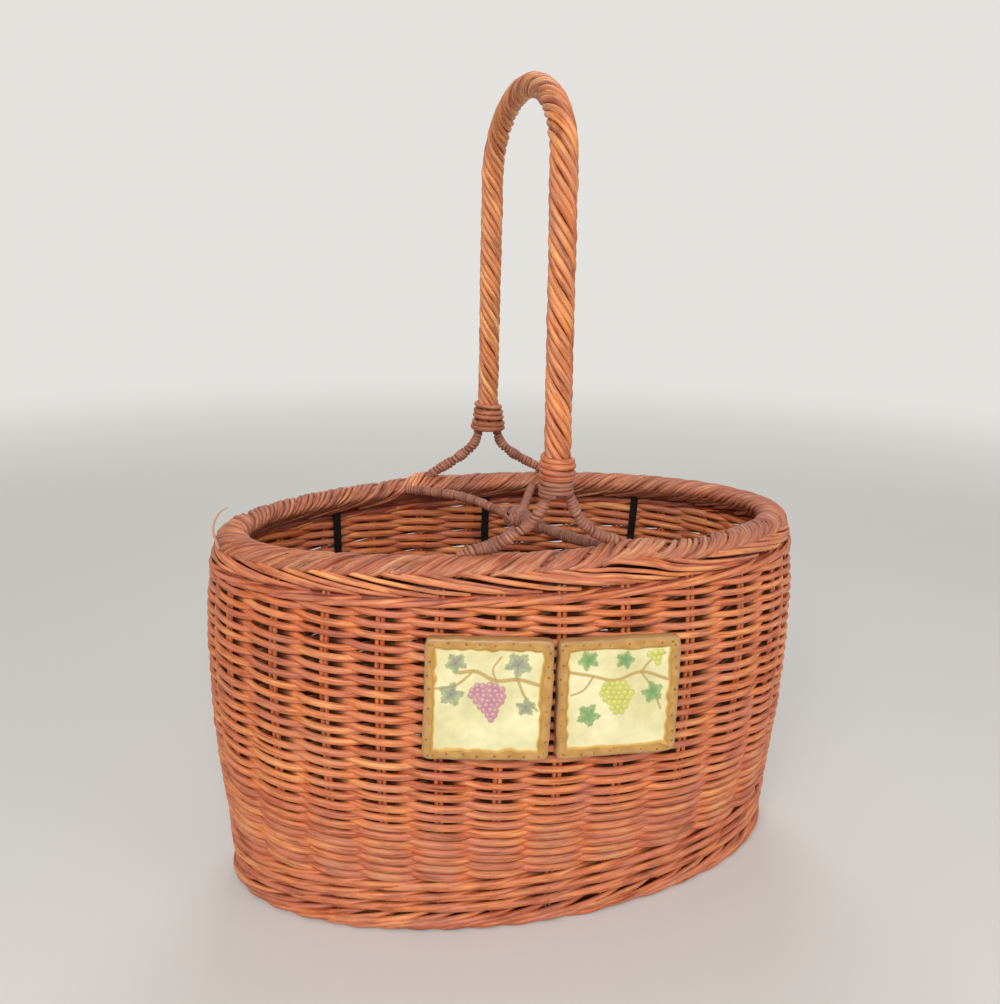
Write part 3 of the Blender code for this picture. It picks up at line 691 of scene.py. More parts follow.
def waleRods(wale, rng):
    # three rods at a time, each in front of two stakes and behind the third
    lay = {
        "cycles": 9, "fullness": 1.9, "forward": 0.35, "crossing": 0.08, "drift": 0.35 * mm,
        "toneSpread": 0.13, "halfWave": 0.06, "halfWaves": 1.7,
    }
    rods = []
    place = roundPlaces(416)
    for level in wale["rows"]:
        for lane in range(3):
            strokes = place * 3 * lay["cycles"] / stakes - lane
            phase, cycle = strokes % 3, np.floor(strokes / 3).astype(int) % lay["cycles"]
            tones = np.clip(rng.normal(wale["tone"], lay["toneSpread"], lay["cycles"]), 0.1, 0.95)
            swing = np.tanh(lay["fullness"] * (-np.cos(fullTurn * phase / 3) + lay["forward"])) / 0.98
            climb = wale["pitch"] / 2 * (phase / 3 - 0.5) * wale["lean"]
            hidden = np.exp(-np.minimum(phase, 3 - phase) ** 2 / lay["crossing"])
            rise = climb * (1 - hidden) + drift(place, level, 9, lay["drift"])
            half = wale["half"] * (1 + lay["halfWave"] * np.sin(place * lay["halfWaves"] + rng.uniform(0, 6)))
            wear = wale["wear"] * np.clip(swing, 0, 1) * rng.uniform(0.4, 1)
            points = onWall(place, level + rise, wale["out"] + wale["swing"] * swing)
            rods.append(rod(points, half, tones[cycle], wear, closed=True))
    # dark rings behind them fill the wall, their dark tone a painted shade: level, place outside its face,
    # half thickness
    for level, out, half in wale["fillers"]:
        points = onWall(roundPlaces(156), level * mm, out * mm)
        rods.append(rod(points, half * mm, wale["fillerShadeTone"], closed=True))
    return rods


def makeUpsett():
    upsett = {
        "rows": (15.5 * mm, 23.5 * mm, 31.5 * mm), "pitch": 8.2 * mm, "half": 2.35 * mm,
        "out": -3.9 * mm, "swing": 2.7 * mm, "lean": 1.0, "tone": 0.44, "wear": 0.3,
        "fillers": ((23, -6, 3),), "fillerShadeTone": 0.1,
    }
    rods = waleRods(upsett, np.random.default_rng(11))
    layRods(
        "upsettRods", rods, "stainedWillow", ["upsett_wale"],
        thick=0.8, seed=111, paintRecessShade=True,
    )


def makeFoot():
    # a rolled border: each rod comes out from underneath and climbs to the right
    foot = {
        "count": 44, "length": 2.5, "half": 2.25 * mm, "low": 2.3 * mm, "high": 10.5 * mm, "slimming": 0.25,
        "outs": (
            (0, -7.5 * mm), (0.1, -2.6 * mm), (0.22, 0.1 * mm), (0.6, 0), (0.85, -2.2 * mm), (1, -6.5 * mm),
        ),
        "startSpread": 0.03, "levelSpread": 0.2 * mm, "tone": 0.4, "toneSpread": 0.1,
        # rings inside the border
        "ringInsets": (6.5 * mm, 10.8 * mm), "ringLevels": (2.6 * mm, 7.6 * mm), "ringHalf": 2.2 * mm,
        "ringWave": 0.25 * mm, "ringWaves": 20,
    }
    rng = np.random.default_rng(13)
    rods = []
    share = np.linspace(0, 1, 26)
    for number in range(foot["count"]):
        start = number * stakes / foot["count"] + rng.normal(0, foot["startSpread"])
        level = foot["low"] + (foot["high"] - foot["low"]) * share ** 1.2 + rng.normal(0, foot["levelSpread"])
        half = foot["half"] * (1 - foot["slimming"] * share) * rng.uniform(0.93, 1.05)
        # nothing reaches below the table
        level = np.maximum(level, half + 0.05 * mm)
        tone = np.clip(rng.normal(foot["tone"], foot["toneSpread"]), 0.15, 0.8)
        points = onWall(start + share * foot["length"], level, np.interp(share, *zip(*foot["outs"])))
        rods.append(rod(points, half, tone, 0.5 * rng.uniform(0, 1)))
    place = roundPlaces(208)
    for index, inset in enumerate(foot["ringInsets"]):
        wave = foot["ringWave"] * np.sin(place * fullTurn * foot["ringWaves"] / stakes + index)
        for level in foot["ringLevels"]:
            points = onWall(place, level + wave, -inset)
            rods.append(rod(points, foot["ringHalf"], rng.uniform(0.3, 0.5), closed=True))
    layRods("footRods", rods, "stainedWillow", ["foot_border"], seed=131, paintRecessShade=True)


def makeTopWale():
    wale = {
        "rows": (207.6 * mm,), "pitch": 7.4 * mm, "half": 1.75 * mm,
        "out": -3.6 * mm, "swing": 2.6 * mm, "lean": 1.2, "tone": 0.5, "wear": 0.3,
        "fillers": ((208, -5, 2.6), (213.5, -6.2, 3), (218, -8, 2.8)), "fillerShadeTone": 0.02,
    }
    rods = waleRods(wale, np.random.default_rng(17))
    layRods(
        "topWaleRods", rods, "stainedWillow", ["top_wale"],
        thick=0.8, seed=171, paintRecessShade=True,
    )


rim = {
    "level": 222.3 * mm, "middle": -12.2 * mm, "across": 7.75 * mm, "upward": 4.45 * mm,
    "coreAcross": 7.4 * mm, "coreUpward": 4.1 * mm, "coreTone": 0.3,
    # the rolls lie close in groups of seven, with a small gap before the next group
    "rolls": 301, "groups": 43, "groupSqueeze": 0.16, "groupProud": 0.3 * mm, "groupToneSpread": 0.08,
    "rollHalf": 1.55 * mm, "rollTravel": 1.05, "from": -32, "to": 205, "rollTone": 0.5, "rollToneSpread": 0.11,
    # where a roll's end runs on under the roll, along the inside of the wall, and darkens there as painted
    # shade
    "tailTravel": 0.9, "tailOut": -11.2 * mm, "tailLevel": 213.6 * mm, "tailSpread": 1.0 * mm,
    "tailShade": 0.3,
    # long rods that run out of the roll and down the outside
    "runners": 56, "runnerLength": 2.8, "runnerHalf": 1.75 * mm, "runnerTone": 0.54, "runnerToneSpread": 0.16,
    "runnerTop": 226.0 * mm, "runnerFall": 15.0 * mm,
    "runnerOuts": (
        (0, -9.5 * mm), (0.08, -5 * mm), (0.2, -2.2 * mm), (0.45, -1 * mm), (0.8, -0.9 * mm), (1, -4 * mm),
    ),
    "runnerTuck": 2.2 * mm,
    # the rim dips at its two ends, and swells where a leg and a cane end in it
    "dip": 1.7 * mm, "swell": 3.0 * mm, "hollow": 1.6 * mm, "rearSwell": 2.0 * mm,
}


def saddled(points, share=1.0):
    # raised and lowered as the rim is
    x, y = points[:, 0], points[:, 1]
    dip = rim["dip"] * (1 - 2 * (x / basket["halfLengths"][3]) ** 2)
    swell = rim["swell"] * np.exp(-((x - 43 * mm) / (19 * mm)) ** 4)
    hollow = rim["hollow"] * np.exp(-((x - 90 * mm) / (22 * mm)) ** 2)
    rearSwell = rim["rearSwell"] * np.exp(-((x + 50 * mm) / (15 * mm)) ** 2)
    points[:, 2] += (dip + np.where(y < 0, swell - hollow, rearSwell)) * share
    return points


def rimRoll(number, groupTone, rng):
    # one rod that climbs over the rim from outside and ends under it inside
    share = np.linspace(0, 1, 20)
    around = np.radians(rim["from"] + (rim["to"] - rim["from"]) * share ** 1.3)
    perGroup = rim["rolls"] // rim["groups"]
    inGroup = number % perGroup - (perGroup - 1) / 2
    start = (number - rim["groupSqueeze"] * inGroup + rng.normal(0, 0.1)) * stakes / rim["rolls"]
    place = start + rim["rollTravel"] * rng.uniform(0.92, 1.08) * share
    proud = rng.normal(0, 0.1 * mm) + rim["groupProud"] * math.cos(inGroup * math.pi / perGroup)
    out = rim["middle"] + (rim["across"] + proud) * np.cos(around)
    level = rim["level"] + (rim["upward"] + proud) * np.sin(around)
    tail = np.linspace(0, 1, 9)[1:]
    tailEnd = rim["tailLevel"] + rng.normal(0, rim["tailSpread"])
    place = np.append(place, place[-1] + rim["tailTravel"] * rng.uniform(0.7, 1.1) * tail)
    out = np.append(out, out[-1] + (rim["tailOut"] - out[-1]) * tail ** 0.7)
    level = np.append(level, level[-1] + (tailEnd - level[-1]) * tail ** 0.6)
    half = rim["rollHalf"] * rng.uniform(0.85, 1.15) * np.linspace(1.08, 0.8, len(place))
    tone = rng.normal(rim["rollTone"], rim["rollToneSpread"]) + groupTone[number // perGroup]
    # the tail darkens under the roll as painted shade
    tone = tone - rim["tailShade"] * np.clip(np.arange(len(place)) / len(share) - 0.95, 0, 1)
    return rod(saddled(onWall(place, level, out)), half, np.clip(tone, 0.1, 0.95), 0.6 * rng.uniform(0, 1))


def rimRunner(number, rng):
    # one long slanting rod below the rolls
    share = np.linspace(0, 1, 44)
    start = (number + rng.normal(0, 0.16)) * stakes / rim["runners"]
    place = start + share * rim["runnerLength"] * rng.uniform(0.9, 1.1)
    level = rim["runnerTop"] - rim["runnerFall"] * share ** 0.8 + rng.normal(0, 0.3 * mm)
    tuck = rim["runnerTuck"] * np.clip((level - 214 * mm) / (8 * mm), 0, 1)
    out = np.interp(share, *zip(*rim["runnerOuts"])) - tuck
    half = rim["runnerHalf"] * rng.uniform(0.82, 1.12) * (1 - 0.3 * share)
    points = saddled(onWall(place, level, out), np.clip((level - 210 * mm) / (10 * mm), 0, 1))
    tone = np.clip(rng.normal(rim["runnerTone"], rim["runnerToneSpread"]), 0.12, 0.98)
    return rod(points, half, tone, 0.5 * rng.uniform(0, 1))


def makeRim():
    rng = np.random.default_rng(19)
    groupTone = rng.normal(0, rim["groupToneSpread"], 60)
    rolls = [rimRoll(number, groupTone, rng) for number in range(rim["rolls"])]
    corePoints = saddled(onWall(roundPlaces(208), rim["level"], rim["middle"]))
    core = rod(corePoints, rim["coreUpward"], rim["coreTone"], closed=True)
    runners = [rimRunner(number, rng) for number in range(rim["runners"])]
    layRods("rimRolls", rolls, "stainedWillowRim", ["rim_border"], sides=6, seed=191)
    layRods(
        "rimCore", [core], "stainedWillowRim", ["rim_border"],
        sides=12, thick=rim["coreAcross"] / rim["coreUpward"], seed=192,
    )
    layRods(
        "rimRunners", runners, "stainedWillow", ["rim_border"],
        thick=0.62, seed=193, paintRecessShade=True,
    )


def makeFloorWeave():
    base = {
        "bottom": 12.3 * mm, "thickness": 8 * mm, "inset": 9.5 * mm,
        "sticks": 5, "stickGap": 54 * mm, "stickHalf": 2.1 * mm, "stickInset": 9 * mm,
        "rodHalf": 1.75 * mm, "pitch": 3.7 * mm, "swing": 2.1 * mm, "rodInset": 2 * mm, "shortest": 20 * mm,
        # shade darkens every floor rod as painted shade, for the basket's shaded inside
        "tone": 0.4, "toneSpread": 0.12, "shade": 0.4,
    }
    rng = np.random.default_rng(23)
    middle = base["bottom"] + base["thickness"] / 2
    halfLength = basket["halfLengths"][0] - base["inset"]
    halfWidth = basket["halfWidths"][0] - base["inset"]
    sticks = []
    for number in range(base["sticks"]):
        x = (number - base["sticks"] // 2) * base["stickGap"]
        reach = halfWidth * math.sqrt(1 - (x / halfLength) ** 2) - base["stickInset"]
        y = np.linspace(-reach, reach, 24) + basket["moveBack"]
        points = np.column_stack(np.broadcast_arrays(x, y, middle))
        sticks.append(rod(points, base["stickHalf"], rng.uniform(0.3, 0.5)))
    names = [f"base_stick_{number + 1}" for number in range(base["sticks"])]
    layRods("floorSticks", sticks, "stainedWillow", names, seed=231)
    rods = []
    rows = int(halfWidth / base["pitch"])
    for row in range(-rows, rows + 1):
        y = row * base["pitch"] + rng.normal(0, 0.1 * mm)
        reach = halfLength * math.sqrt(max(1 - (y / (halfWidth + 0.5 * mm)) ** 2, 0)) - base["rodInset"]
        if reach < base["shortest"]:
            continue
        x = np.linspace(-reach, reach, max(12, int(reach / (3 * mm))))
        level = middle + base["swing"] * np.cos(math.pi * (x / base["stickGap"] + row))
        points = np.column_stack(np.broadcast_arrays(x, y + basket["moveBack"], level))
        half = base["rodHalf"] * rng.uniform(0.95, 1.03)
        rods.append(rod(points, half, np.clip(rng.normal(base["tone"], base["toneSpread"]), 0.1, 0.8)))
    layRods(
        "floorRods", rods, "stainedWillow", ["base_lower", "base_upper"],
        seed=232, shade=base["shade"],
    )


bow = {
    "half": 7 * mm, "footSpan": 82.4 * mm, "footLevel": 265.5 * mm, "footStraight": 19 * mm,
    "springSpan": 77 * mm, "springLevel": 422 * mm, "crownRise": 45.8 * mm,
    "rods": 8, "rodHalf": 1.78 * mm, "lay": 50 * mm, "coreHalf": 3.2 * mm,
    # worn thinner and flatter over the crown, where it is held
    "crownDrop": 1.2 * mm, "crownSlim": 0.09,
    "tone": 0.48, "toneWave": 0.14, "toneSpread": 0.13, "rearPaler": 0.16,
}


def bowPath():
    # up from the front foot, over the crown and down to the rear one
    top = bow["footLevel"] + bow["footStraight"]
    share = np.arange(8) / 8
    y = bow["footSpan"] + (bow["springSpan"] - bow["footSpan"]) * share
    z = top + (bow["springLevel"] - top) * share
    leg = np.vstack([[0, bow["footSpan"], bow["footLevel"]], np.column_stack((np.zeros(8), y, z))])
    turn = np.linspace(0, math.pi, 41)
    crown = np.column_stack((
        np.zeros(41), bow["springSpan"] * np.cos(turn), bow["springLevel"] + bow["crownRise"] * np.sin(turn)))
    path = np.vstack([leg, crown, (leg * (1, -1, 1))[::-1]])
    path[:, 1] += basket["moveBack"]
    return smoothPath(path, 1.6 * mm)


def makeHandle():
    path = bowPath()
    rng = np.random.default_rng(29)
    crown = np.clip((path[:, 2] - bow["springLevel"]) / bow["crownRise"], 0, 1)
    path[:, 2] -= bow["crownDrop"] * crown
    slim = 1 - bow["crownSlim"] * crown ** 2
    rods = [rod(path, bow["coreHalf"], 0.0)]
    run = np.arange(len(path))
    for number in range(bow["rods"]):
        start = fullTurn * (number + rng.normal(0, 0.06)) / bow["rods"]
        radius = (bow["half"] - bow["rodHalf"]) * slim + 0.14 * mm * np.sin(run * 0.09 + rng.uniform(0, 6))
        points = windRound(path, radius, bow["lay"], start, hand=-1)
        uneven = rng.uniform(0.92, 1.06) * (1 + 0.05 * np.sin(run * 0.05 + rng.uniform(0, 6)))
        tone = bow["tone"] + bow["toneWave"] * np.sin(run * 0.035 + rng.uniform(0, 6))
        tone = tone + rng.normal(0, bow["toneSpread"]) + bow["rearPaler"] * (path[:, 1] > 0)
        wear = 0.5 * rng.uniform(0.1, 1)
        rods.append(rod(points, bow["rodHalf"] * slim * uneven, np.clip(tone, 0.12, 0.98), wear))
    layRods("bowRods", rods, "varnishedWillow", ["handle_bow"], sides=10, seed=291)


def makeCollars():
    collars = {
        # turns from the bottom, level, radius to the rod's middle, rod's half thickness, stain
        "front": (
            (0, 262.2, 8.0, 1.1, 0.36), (1, 264.3, 8.0, 1.15, 0.4), (2, 266.5, 8.0, 1.25, 0.46),
            (3, 269.0, 8.1, 1.4, 0.52), (4, 272.0, 8.2, 1.6, 0.12), (5, 275.2, 8.2, 1.65, 0.2),
            (6, 278.4, 7.9, 1.6, 0.28), (7, 281.3, 7.3, 1.4, 0.38),
        ),
        "rear": (
            (0, 262.9, 10.4, 1.6, 0.3), (1, 266.6, 9.9, 1.75, 0.4), (2, 270.6, 9.2, 1.75, 0.45),
            (3, 274.4, 8.6, 1.7, 0.5), (4, 278.0, 8.1, 1.6, 0.55), (4.6, 280.2, 7.9, 1.5, 0.6),
        ),
        # the front one's lower turns are dull with dust: where that ends, and what lies above it
        "ends": (("front", -1, 2.2, 3.12, "stainedWillow"), ("rear", 1, -0.4, -1, "stainedWillowRim")),
        "lead": 0.35, "pointsPerTurn": 28,
    }
    rng = np.random.default_rng(37)
    for name, side, startAngle, split, above in collars["ends"]:
        stops, *columns = zip(*collars[name])
        turns = np.linspace(-collars["lead"], stops[-1], round(stops[-1] * collars["pointsPerTurn"]))
        level, radius, half, tone = (np.interp(turns, stops, column) for column in columns)
        angle = startAngle - fullTurn * turns
        level = level + 0.35 * np.sin(turns * 3.1 + rng.uniform(0, 6))
        level = level + 0.5 * np.cos(angle) * np.clip(1 - turns / 4, 0, 1)
        radius = radius + 0.25 * np.sin(turns * 5.3 + rng.uniform(0, 6))
        radius = radius + 1.3 * np.clip(-turns / collars["lead"], 0, 1)
        half = half * (1 + 0.06 * np.sin(turns * 2.3))
        points = np.column_stack((radius * np.cos(angle), radius * np.sin(angle), level)) * mm
        points[:, 1] += side * bow["footSpan"] + basket["moveBack"]
        parts = (("lower", turns < split + 0.05, "boundCane"), ("upper", turns > split, above))
        for part, chosen, finish in parts:
            if chosen.any():
                one = rod(points[chosen], half[chosen] * mm, tone[chosen], 0.35)
                layRods(
                    f"collarRod_{name}_{part}", [one], finish, [f"collar_{name}"],
                    sides=10, seed=371,
                )


def wrappedRods(path, halves, wrapHalf, pitch, tone, start):
    # a plain core and one strand wound round it from end to end
    pointsPerTurn = 14
    path = smoothPath(path, pitch / pointsPerTurn)
    count = len(path)
    half = np.interp(np.linspace(0, 1, count), np.linspace(0, 1, len(halves)), np.array(halves) * mm)

    def wave(turns, phase=0.0):
        return np.sin(np.arange(count) / pointsPerTurn * fullTurn / turns + phase)

    radius = half - wrapHalf + 0.1 * mm * (wave(7.3, start) + wave(3.1))
    points = windRound(path, radius, pitch * (1 + 0.2 * wave(5.7)), start)
    shade = np.clip(tone + 0.12 * wave(11.0, start) + 0.07 * wave(2.6), 0.05, 0.98)
    core = rod(path[::7], (half - 1.15 * wrapHalf)[::7], 0.1)
    return [core, rod(points, wrapHalf * (1 + 0.14 * wave(4.7, 1)), shade, 0.4)]


def rimMiddle(x):
    # how far the middle of the rim lies from the oval's long axis
    halfLength, halfWidth = (basket[key][3] - 11.8 * mm for key in ("halfLengths", "halfWidths"))
    return halfWidth * math.sqrt(1 - (x / halfLength) ** 2)


def makeLegs():
    # each leg by its middle line, out and up, then its strand: half thickness, pitch and stain
    front = {"wrapHalf": 1.35, "footBack": 4.5}
    rear = {
        "wrapHalf": 1.45, "footBack": 0, "pitch": 2.5,
        "route": (
            (6.2, 264.5), (6.6, 260.4), (9.4, 252.8), (16.5, 246.0), (25, 240.4), (34, 235.6),
            (42.5, 230.0), (48.5, 224.6),
        ),
    }
    legs = {
        "front_left": front | {
            "route": (
                (4.7, 264.8), (4.9, 260), (7.2, 254.8), (10.6, 249.9), (14.3, 244.9), (20.3, 241),
                (26.5, 237.3), (32, 234.4), (39, 232.6), (46, 230.7), (51.5, 229.0),
            ),
            "halves": (3.1, 3.1, 3.0, 2.9, 3.2, 3.9, 4.0, 3.1, 1.7), "pitch": 2.3, "tone": 0.45,
        },
        "front_right": front | {
            "route": (
                (5.2, 264.8), (7.4, 259.4), (10.5, 252.4), (14.2, 245.9), (20.2, 240.3), (26.4, 236.4),
                (32.5, 233.9), (36.3, 231.9),
            ),
            "halves": (3.0, 3.1, 3.2, 3.1, 3.2, 3.4), "pitch": 2.35, "tone": 0.4,
        },
        "rear_left": rear | {"halves": (3.3, 3.6, 3.7, 3.6, 3.3), "tone": 0.55},
        "rear_right": rear | {"halves": (3.2, 3.5, 3.6, 3.4, 3.2), "tone": 0.5},
    }
    rng = np.random.default_rng(41)
    for name, leg in legs.items():
        hand = -1 if name.endswith("left") else 1
        side = -1 if name.startswith("front") else 1
        points = []
        for outward, level in leg["route"]:
            down = np.clip((bow["footLevel"] - level * mm) / (43 * mm), 0, 1)
            y = bow["footSpan"] + (rimMiddle(outward * mm) - bow["footSpan"]) * down
            y = y - leg["footBack"] * mm * down ** 2
            points.append((hand * outward * mm, side * y + basket["moveBack"], level * mm))
        strand = (leg["wrapHalf"] * mm, leg["pitch"] * mm, leg["tone"])
        rods = wrappedRods(points, leg["halves"], *strand, rng.uniform(0, 6))
        layRods(f"legWrap_{name}", rods, "boundCane", [f"leg_{name}"], seed=411)


# the two canes that cross, and their lashing
cross = {
    "spread": 63 * mm, "wrapHalf": 0.85 * mm, "pitch": 1.45 * mm, "tone": 0.46,
    # each cane by points: share of the spread, share of the half width, level
    "routes": {
        "a": (
            (-1, 0.90, 224.4), (-0.86, 0.81, 225.0), (-0.70, 0.72, 225.4), (-0.41, 0.53, 225.6),
            (-0.27, 0.36, 225.6), (-0.16, 0.22, 224.3), (0, 0, 223.2), (0.18, -0.25, 222.4),
            (0.31, -0.46, 222.9), (0.40, -0.62, 224.2), (0.50, -0.81, 226.4), (0.54, -0.88, 227.3),
        ),
        "b": (
            (0.52, 0.95, 223.2), (0.40, 0.73, 222.2), (0.28, 0.50, 220.6), (0.12, 0.22, 218.6),
            (0, 0, 217.4), (-0.20, -0.28, 218.4), (-0.42, -0.60, 220.6), (-0.62, -0.92, 223),
        ),
    },
    "halves": {"a": (3.0, 3.2, 3.3, 3.2, 3.0, 2.9, 2.9, 3.1, 3.5, 3.4, 2.2), "b": (3.0, 3.0, 3.0)},
    "knot": (1.0 * mm, basket["moveBack"], 223.4 * mm),
    # loops over the crossing: heading, how many, half width and half height
    "loops": ((18, 15, 6.9, 5.5), (142, 8, 7.6, 5.9), (70, 5, 8.2, 5.6)), "loopStep": 1.05 * mm,
    # and turns round the upper cane beside it: between which shares of the spread, and how wide
    "turnsBetween": (0.03, 0.17), "turnRadii": (4.6, 3.4),
    "strandHalf": 0.8 * mm, "strandTone": 0.45, "strandToneSpread": 0.08,
}


def lashingStrand(points, rng):
    # one thin turn of the lashing
    half = cross["strandHalf"] * rng.uniform(0.85, 1.1)
    tone = np.clip(rng.normal(cross["strandTone"], cross["strandToneSpread"]), 0.1, 0.9)
    return rod(points, half, tone, 0.4, closed=True)


def makeCross():
    rng = np.random.default_rng(43)
    reach = basket["halfWidths"][3] - 11.8 * mm
    canes = {
        letter: np.array(route) * (cross["spread"], reach, mm) + (0, basket["moveBack"], 0)
        for letter, route in cross["routes"].items()
    }
    for letter, points in canes.items():
        strand = (cross["wrapHalf"], cross["pitch"], cross["tone"])
        rods = wrappedRods(points, cross["halves"][letter], *strand, rng.uniform(0, 6))
        layRods(
            f"crossCane_{letter}", rods, "boundCane", [f"divider_cane_{letter}"],
            sides=6, seed=431,
        )
    strands = []
    turn = fullTurn * np.arange(40) / 40
    cosine, sine = np.cos(turn)[:, None], np.sin(turn)[:, None]
    for heading, count, wide, tall in cross["loops"]:
        axis = np.array((math.cos(math.radians(heading)), math.sin(math.radians(heading)), 0))
        across, upward = np.array((-axis[1], axis[0], 0)), np.array((0, 0, 1))
        for number in range(count):
            offset = (number - (count - 1) / 2) * cross["loopStep"]
            shrink = math.sqrt(max(1 - (offset / (8.5 * mm)) ** 2, 0.2)) * rng.uniform(0.95, 1.05) * mm
            lean = rng.normal(0, 0.25)
            shift = offset + 6 * mm * lean * np.sin(turn + lean)[:, None]
            loop = axis * shift + (across * wide * cosine + upward * tall * sine) * shrink
            strands.append(lashingStrand(cross["knot"] + loop, rng))
    upper = smoothPath(canes["a"], 0.9 * mm)
    share = upper[:, 0] / cross["spread"]
    near = upper[(share > cross["turnsBetween"][0]) & (share < cross["turnsBetween"][1])]
    tangents, sides, ups = framesAlong(near, (1, 0.3, 0.1))
    for number in range(0, len(near), 2):
        lean = rng.normal(0, 0.35)
        radius = np.interp(number, (0, len(near)), cross["turnRadii"]) * mm
        ring = radius * (cosine * sides[number] + sine * ups[number])
        ring = ring + 0.6 * mm * np.sin(turn + lean)[:, None] * tangents[number]
        strands.append(lashingStrand(near[number] + ring, rng))
    layRods("crossLashing", strands, "boundCane", ["divider_knot"], sides=8, seed=432)


def makeRimBinding():
    # pale rods bound over the rim where the upper cane ends in its rear
    binding = {
        "count": 3, "from": 14.36, "step": 0.085, "travel": 0.58, "half": 1.3 * mm,
        # share of the way over the rim, place outside the wall's face, level
        "route": (
            (0, -20.5 * mm, 226.5 * mm), (0.3, -17.5 * mm, 231 * mm), (0.55, -12 * mm, 233.2 * mm),
            (0.8, -6.5 * mm, 231 * mm), (1, -3 * mm, 223 * mm),
        ),
    }
    rng = np.random.default_rng(47)
    share = np.linspace(0, 1, 5)
    shares, outs, levels = zip(*binding["route"])
    rods = []
    for number in range(binding["count"]):
        place = binding["from"] + binding["step"] * number + rng.normal(0, 0.01) - binding["travel"] * share
        points = onWall(place, np.interp(share, shares, levels), np.interp(share, shares, outs))
        points[:, 2] += rng.normal(0, 0.35 * mm)
        half = binding["half"] * rng.uniform(0.9, 1.1)
        rods.append(rod(smoothPath(points, 1.0 * mm), half, rng.uniform(0.6, 0.9), 0.5))
    layRods("rimBinding", rods, "stainedWillow", seed=471)


def makeLooseEnd():
    # the end of one rod that has sprung out at the left of the rim
    loose = {
        "points": (
            (-174.2, -22, 221.6), (-175.6, -20, 225.7), (-176.9, -18, 231.3), (-176.5, -17, 234.3),
            (-175.0, -16, 237.6), (-173.2, -15, 240.1), (-170.8, -14, 241.9), (-168.4, -13, 242.6),
        ),
        "half": 0.95 * mm,
    }
    path = smoothPath(np.array(loose["points"]) * mm, 1.5 * mm)
    path[:, 1] += basket["moveBack"]
    half = loose["half"] * np.linspace(1, 0.3, len(path))
    layRods("looseEnd", [rod(path, half, 0.9, 1.0)], "stainedWillowRim", seed=451)


# the plaques: cast square tiles, painted by hand, in millimetres from the tile's middle
tile = {
    "half": 34, "thickness": 6.2, "panelDrop": 1.2, "cells": 180, "taller": 1.012,
    "field": ("#DFD59E", "#F1E8B6"), "stem": ("#A9803E", "#CDAE66"), "back": "#A87C50",
    "frame": "#B98742", "frameStreaks": "#CDA05C", "frameEdge": "#B08656", "frameGroove": "#8E6226",
    "frameLine": "#CE9C34", "dots": "#6E4418", "frameWidth": 6.0, "dotsPerSide": 8, "dotGap": 8.4,
}


def waveField(u, v, seed, scale):
    # soft uneven spots, from about -1 to 1
    rng = np.random.default_rng(seed)
    total = np.zeros_like(u)
    for _ in range(8):
        angle, phase = rng.uniform(0, 6.3, 2)
        total += np.sin((u * math.cos(angle) + v * math.sin(angle)) * scale * rng.uniform(0.6, 1.8) + phase)
    return total / 8


def within(depth, soft):
    # 1 inside an edge and 0 outside it, over a step this wide
    return np.clip(depth / soft + 0.5, 0, 1)


def beside(distance, reach):
    # 1 on a line, down to 0 at its reach
    return np.clip(1 - np.abs(distance) / reach, 0, 1)


def brushed(paint, *coats):
    # coats of a colour, each with its share at every point
    for colour, share in coats:
        share = np.clip(share, 0, 1)[:, None]
        paint = paint * (1 - share) + np.array(linear(colour)[:3]) * share
    return paint


def strokeShare(u, v, points, width):
    # how much a brush stroke along the points covers
    distance = np.full(u.shape, 99.0)
    for (x0, y0), (x1, y1) in zip(points, points[1:]):
        length = (x1 - x0) ** 2 + (y1 - y0) ** 2
        share = np.clip(((u - x0) * (x1 - x0) + (v - y0) * (y1 - y0)) / length, 0, 1)
        distance = np.minimum(distance, np.hypot(u - x0 - share * (x1 - x0), v - y0 - share * (y1 - y0)))
    return within(width / 2 - distance, 0.35)


def paintLeaf(paint, u, v, leaf, design):
    # five lobes round the middle, a notch at the stalk, veins to the lobes
    x, y, turn, size = leaf
    distance = np.hypot(u - x, v - y)
    angle = (np.arctan2(v - y, u - x) - turn + math.pi) % fullTurn - math.pi
    notch = 1 - 0.35 * np.exp(-((np.abs(angle) - math.pi) / 0.3) ** 2)
    outline = size * (0.80 + 0.15 * np.cos(5 * angle) + 0.05 * np.cos(17 * angle)) * notch
    inside = within(outline - distance, 0.5)
    middle = np.clip(1.15 - 1.2 * distance / size + 0.5 * waveField(u, v, 78, 0.9), 0, 1)
    offVein = np.abs(np.sin(2.5 * angle))
    veins = beside(offVein * distance, 0.9) * inside
    ribs = np.clip(np.sin(distance * 2.4 + 3 * offVein), 0, 1) ** 3 * inside
    return brushed(
        paint, (design["leafColour"], inside * (0.8 + 0.25 * waveField(u, v, 77, 1.1))),
        (design["leafMiddle"], 0.75 * inside * middle),
        (design["veinColour"], 0.55 * veins + 0.22 * ribs + 0.4 * beside(outline - distance, 0.4)),
    )


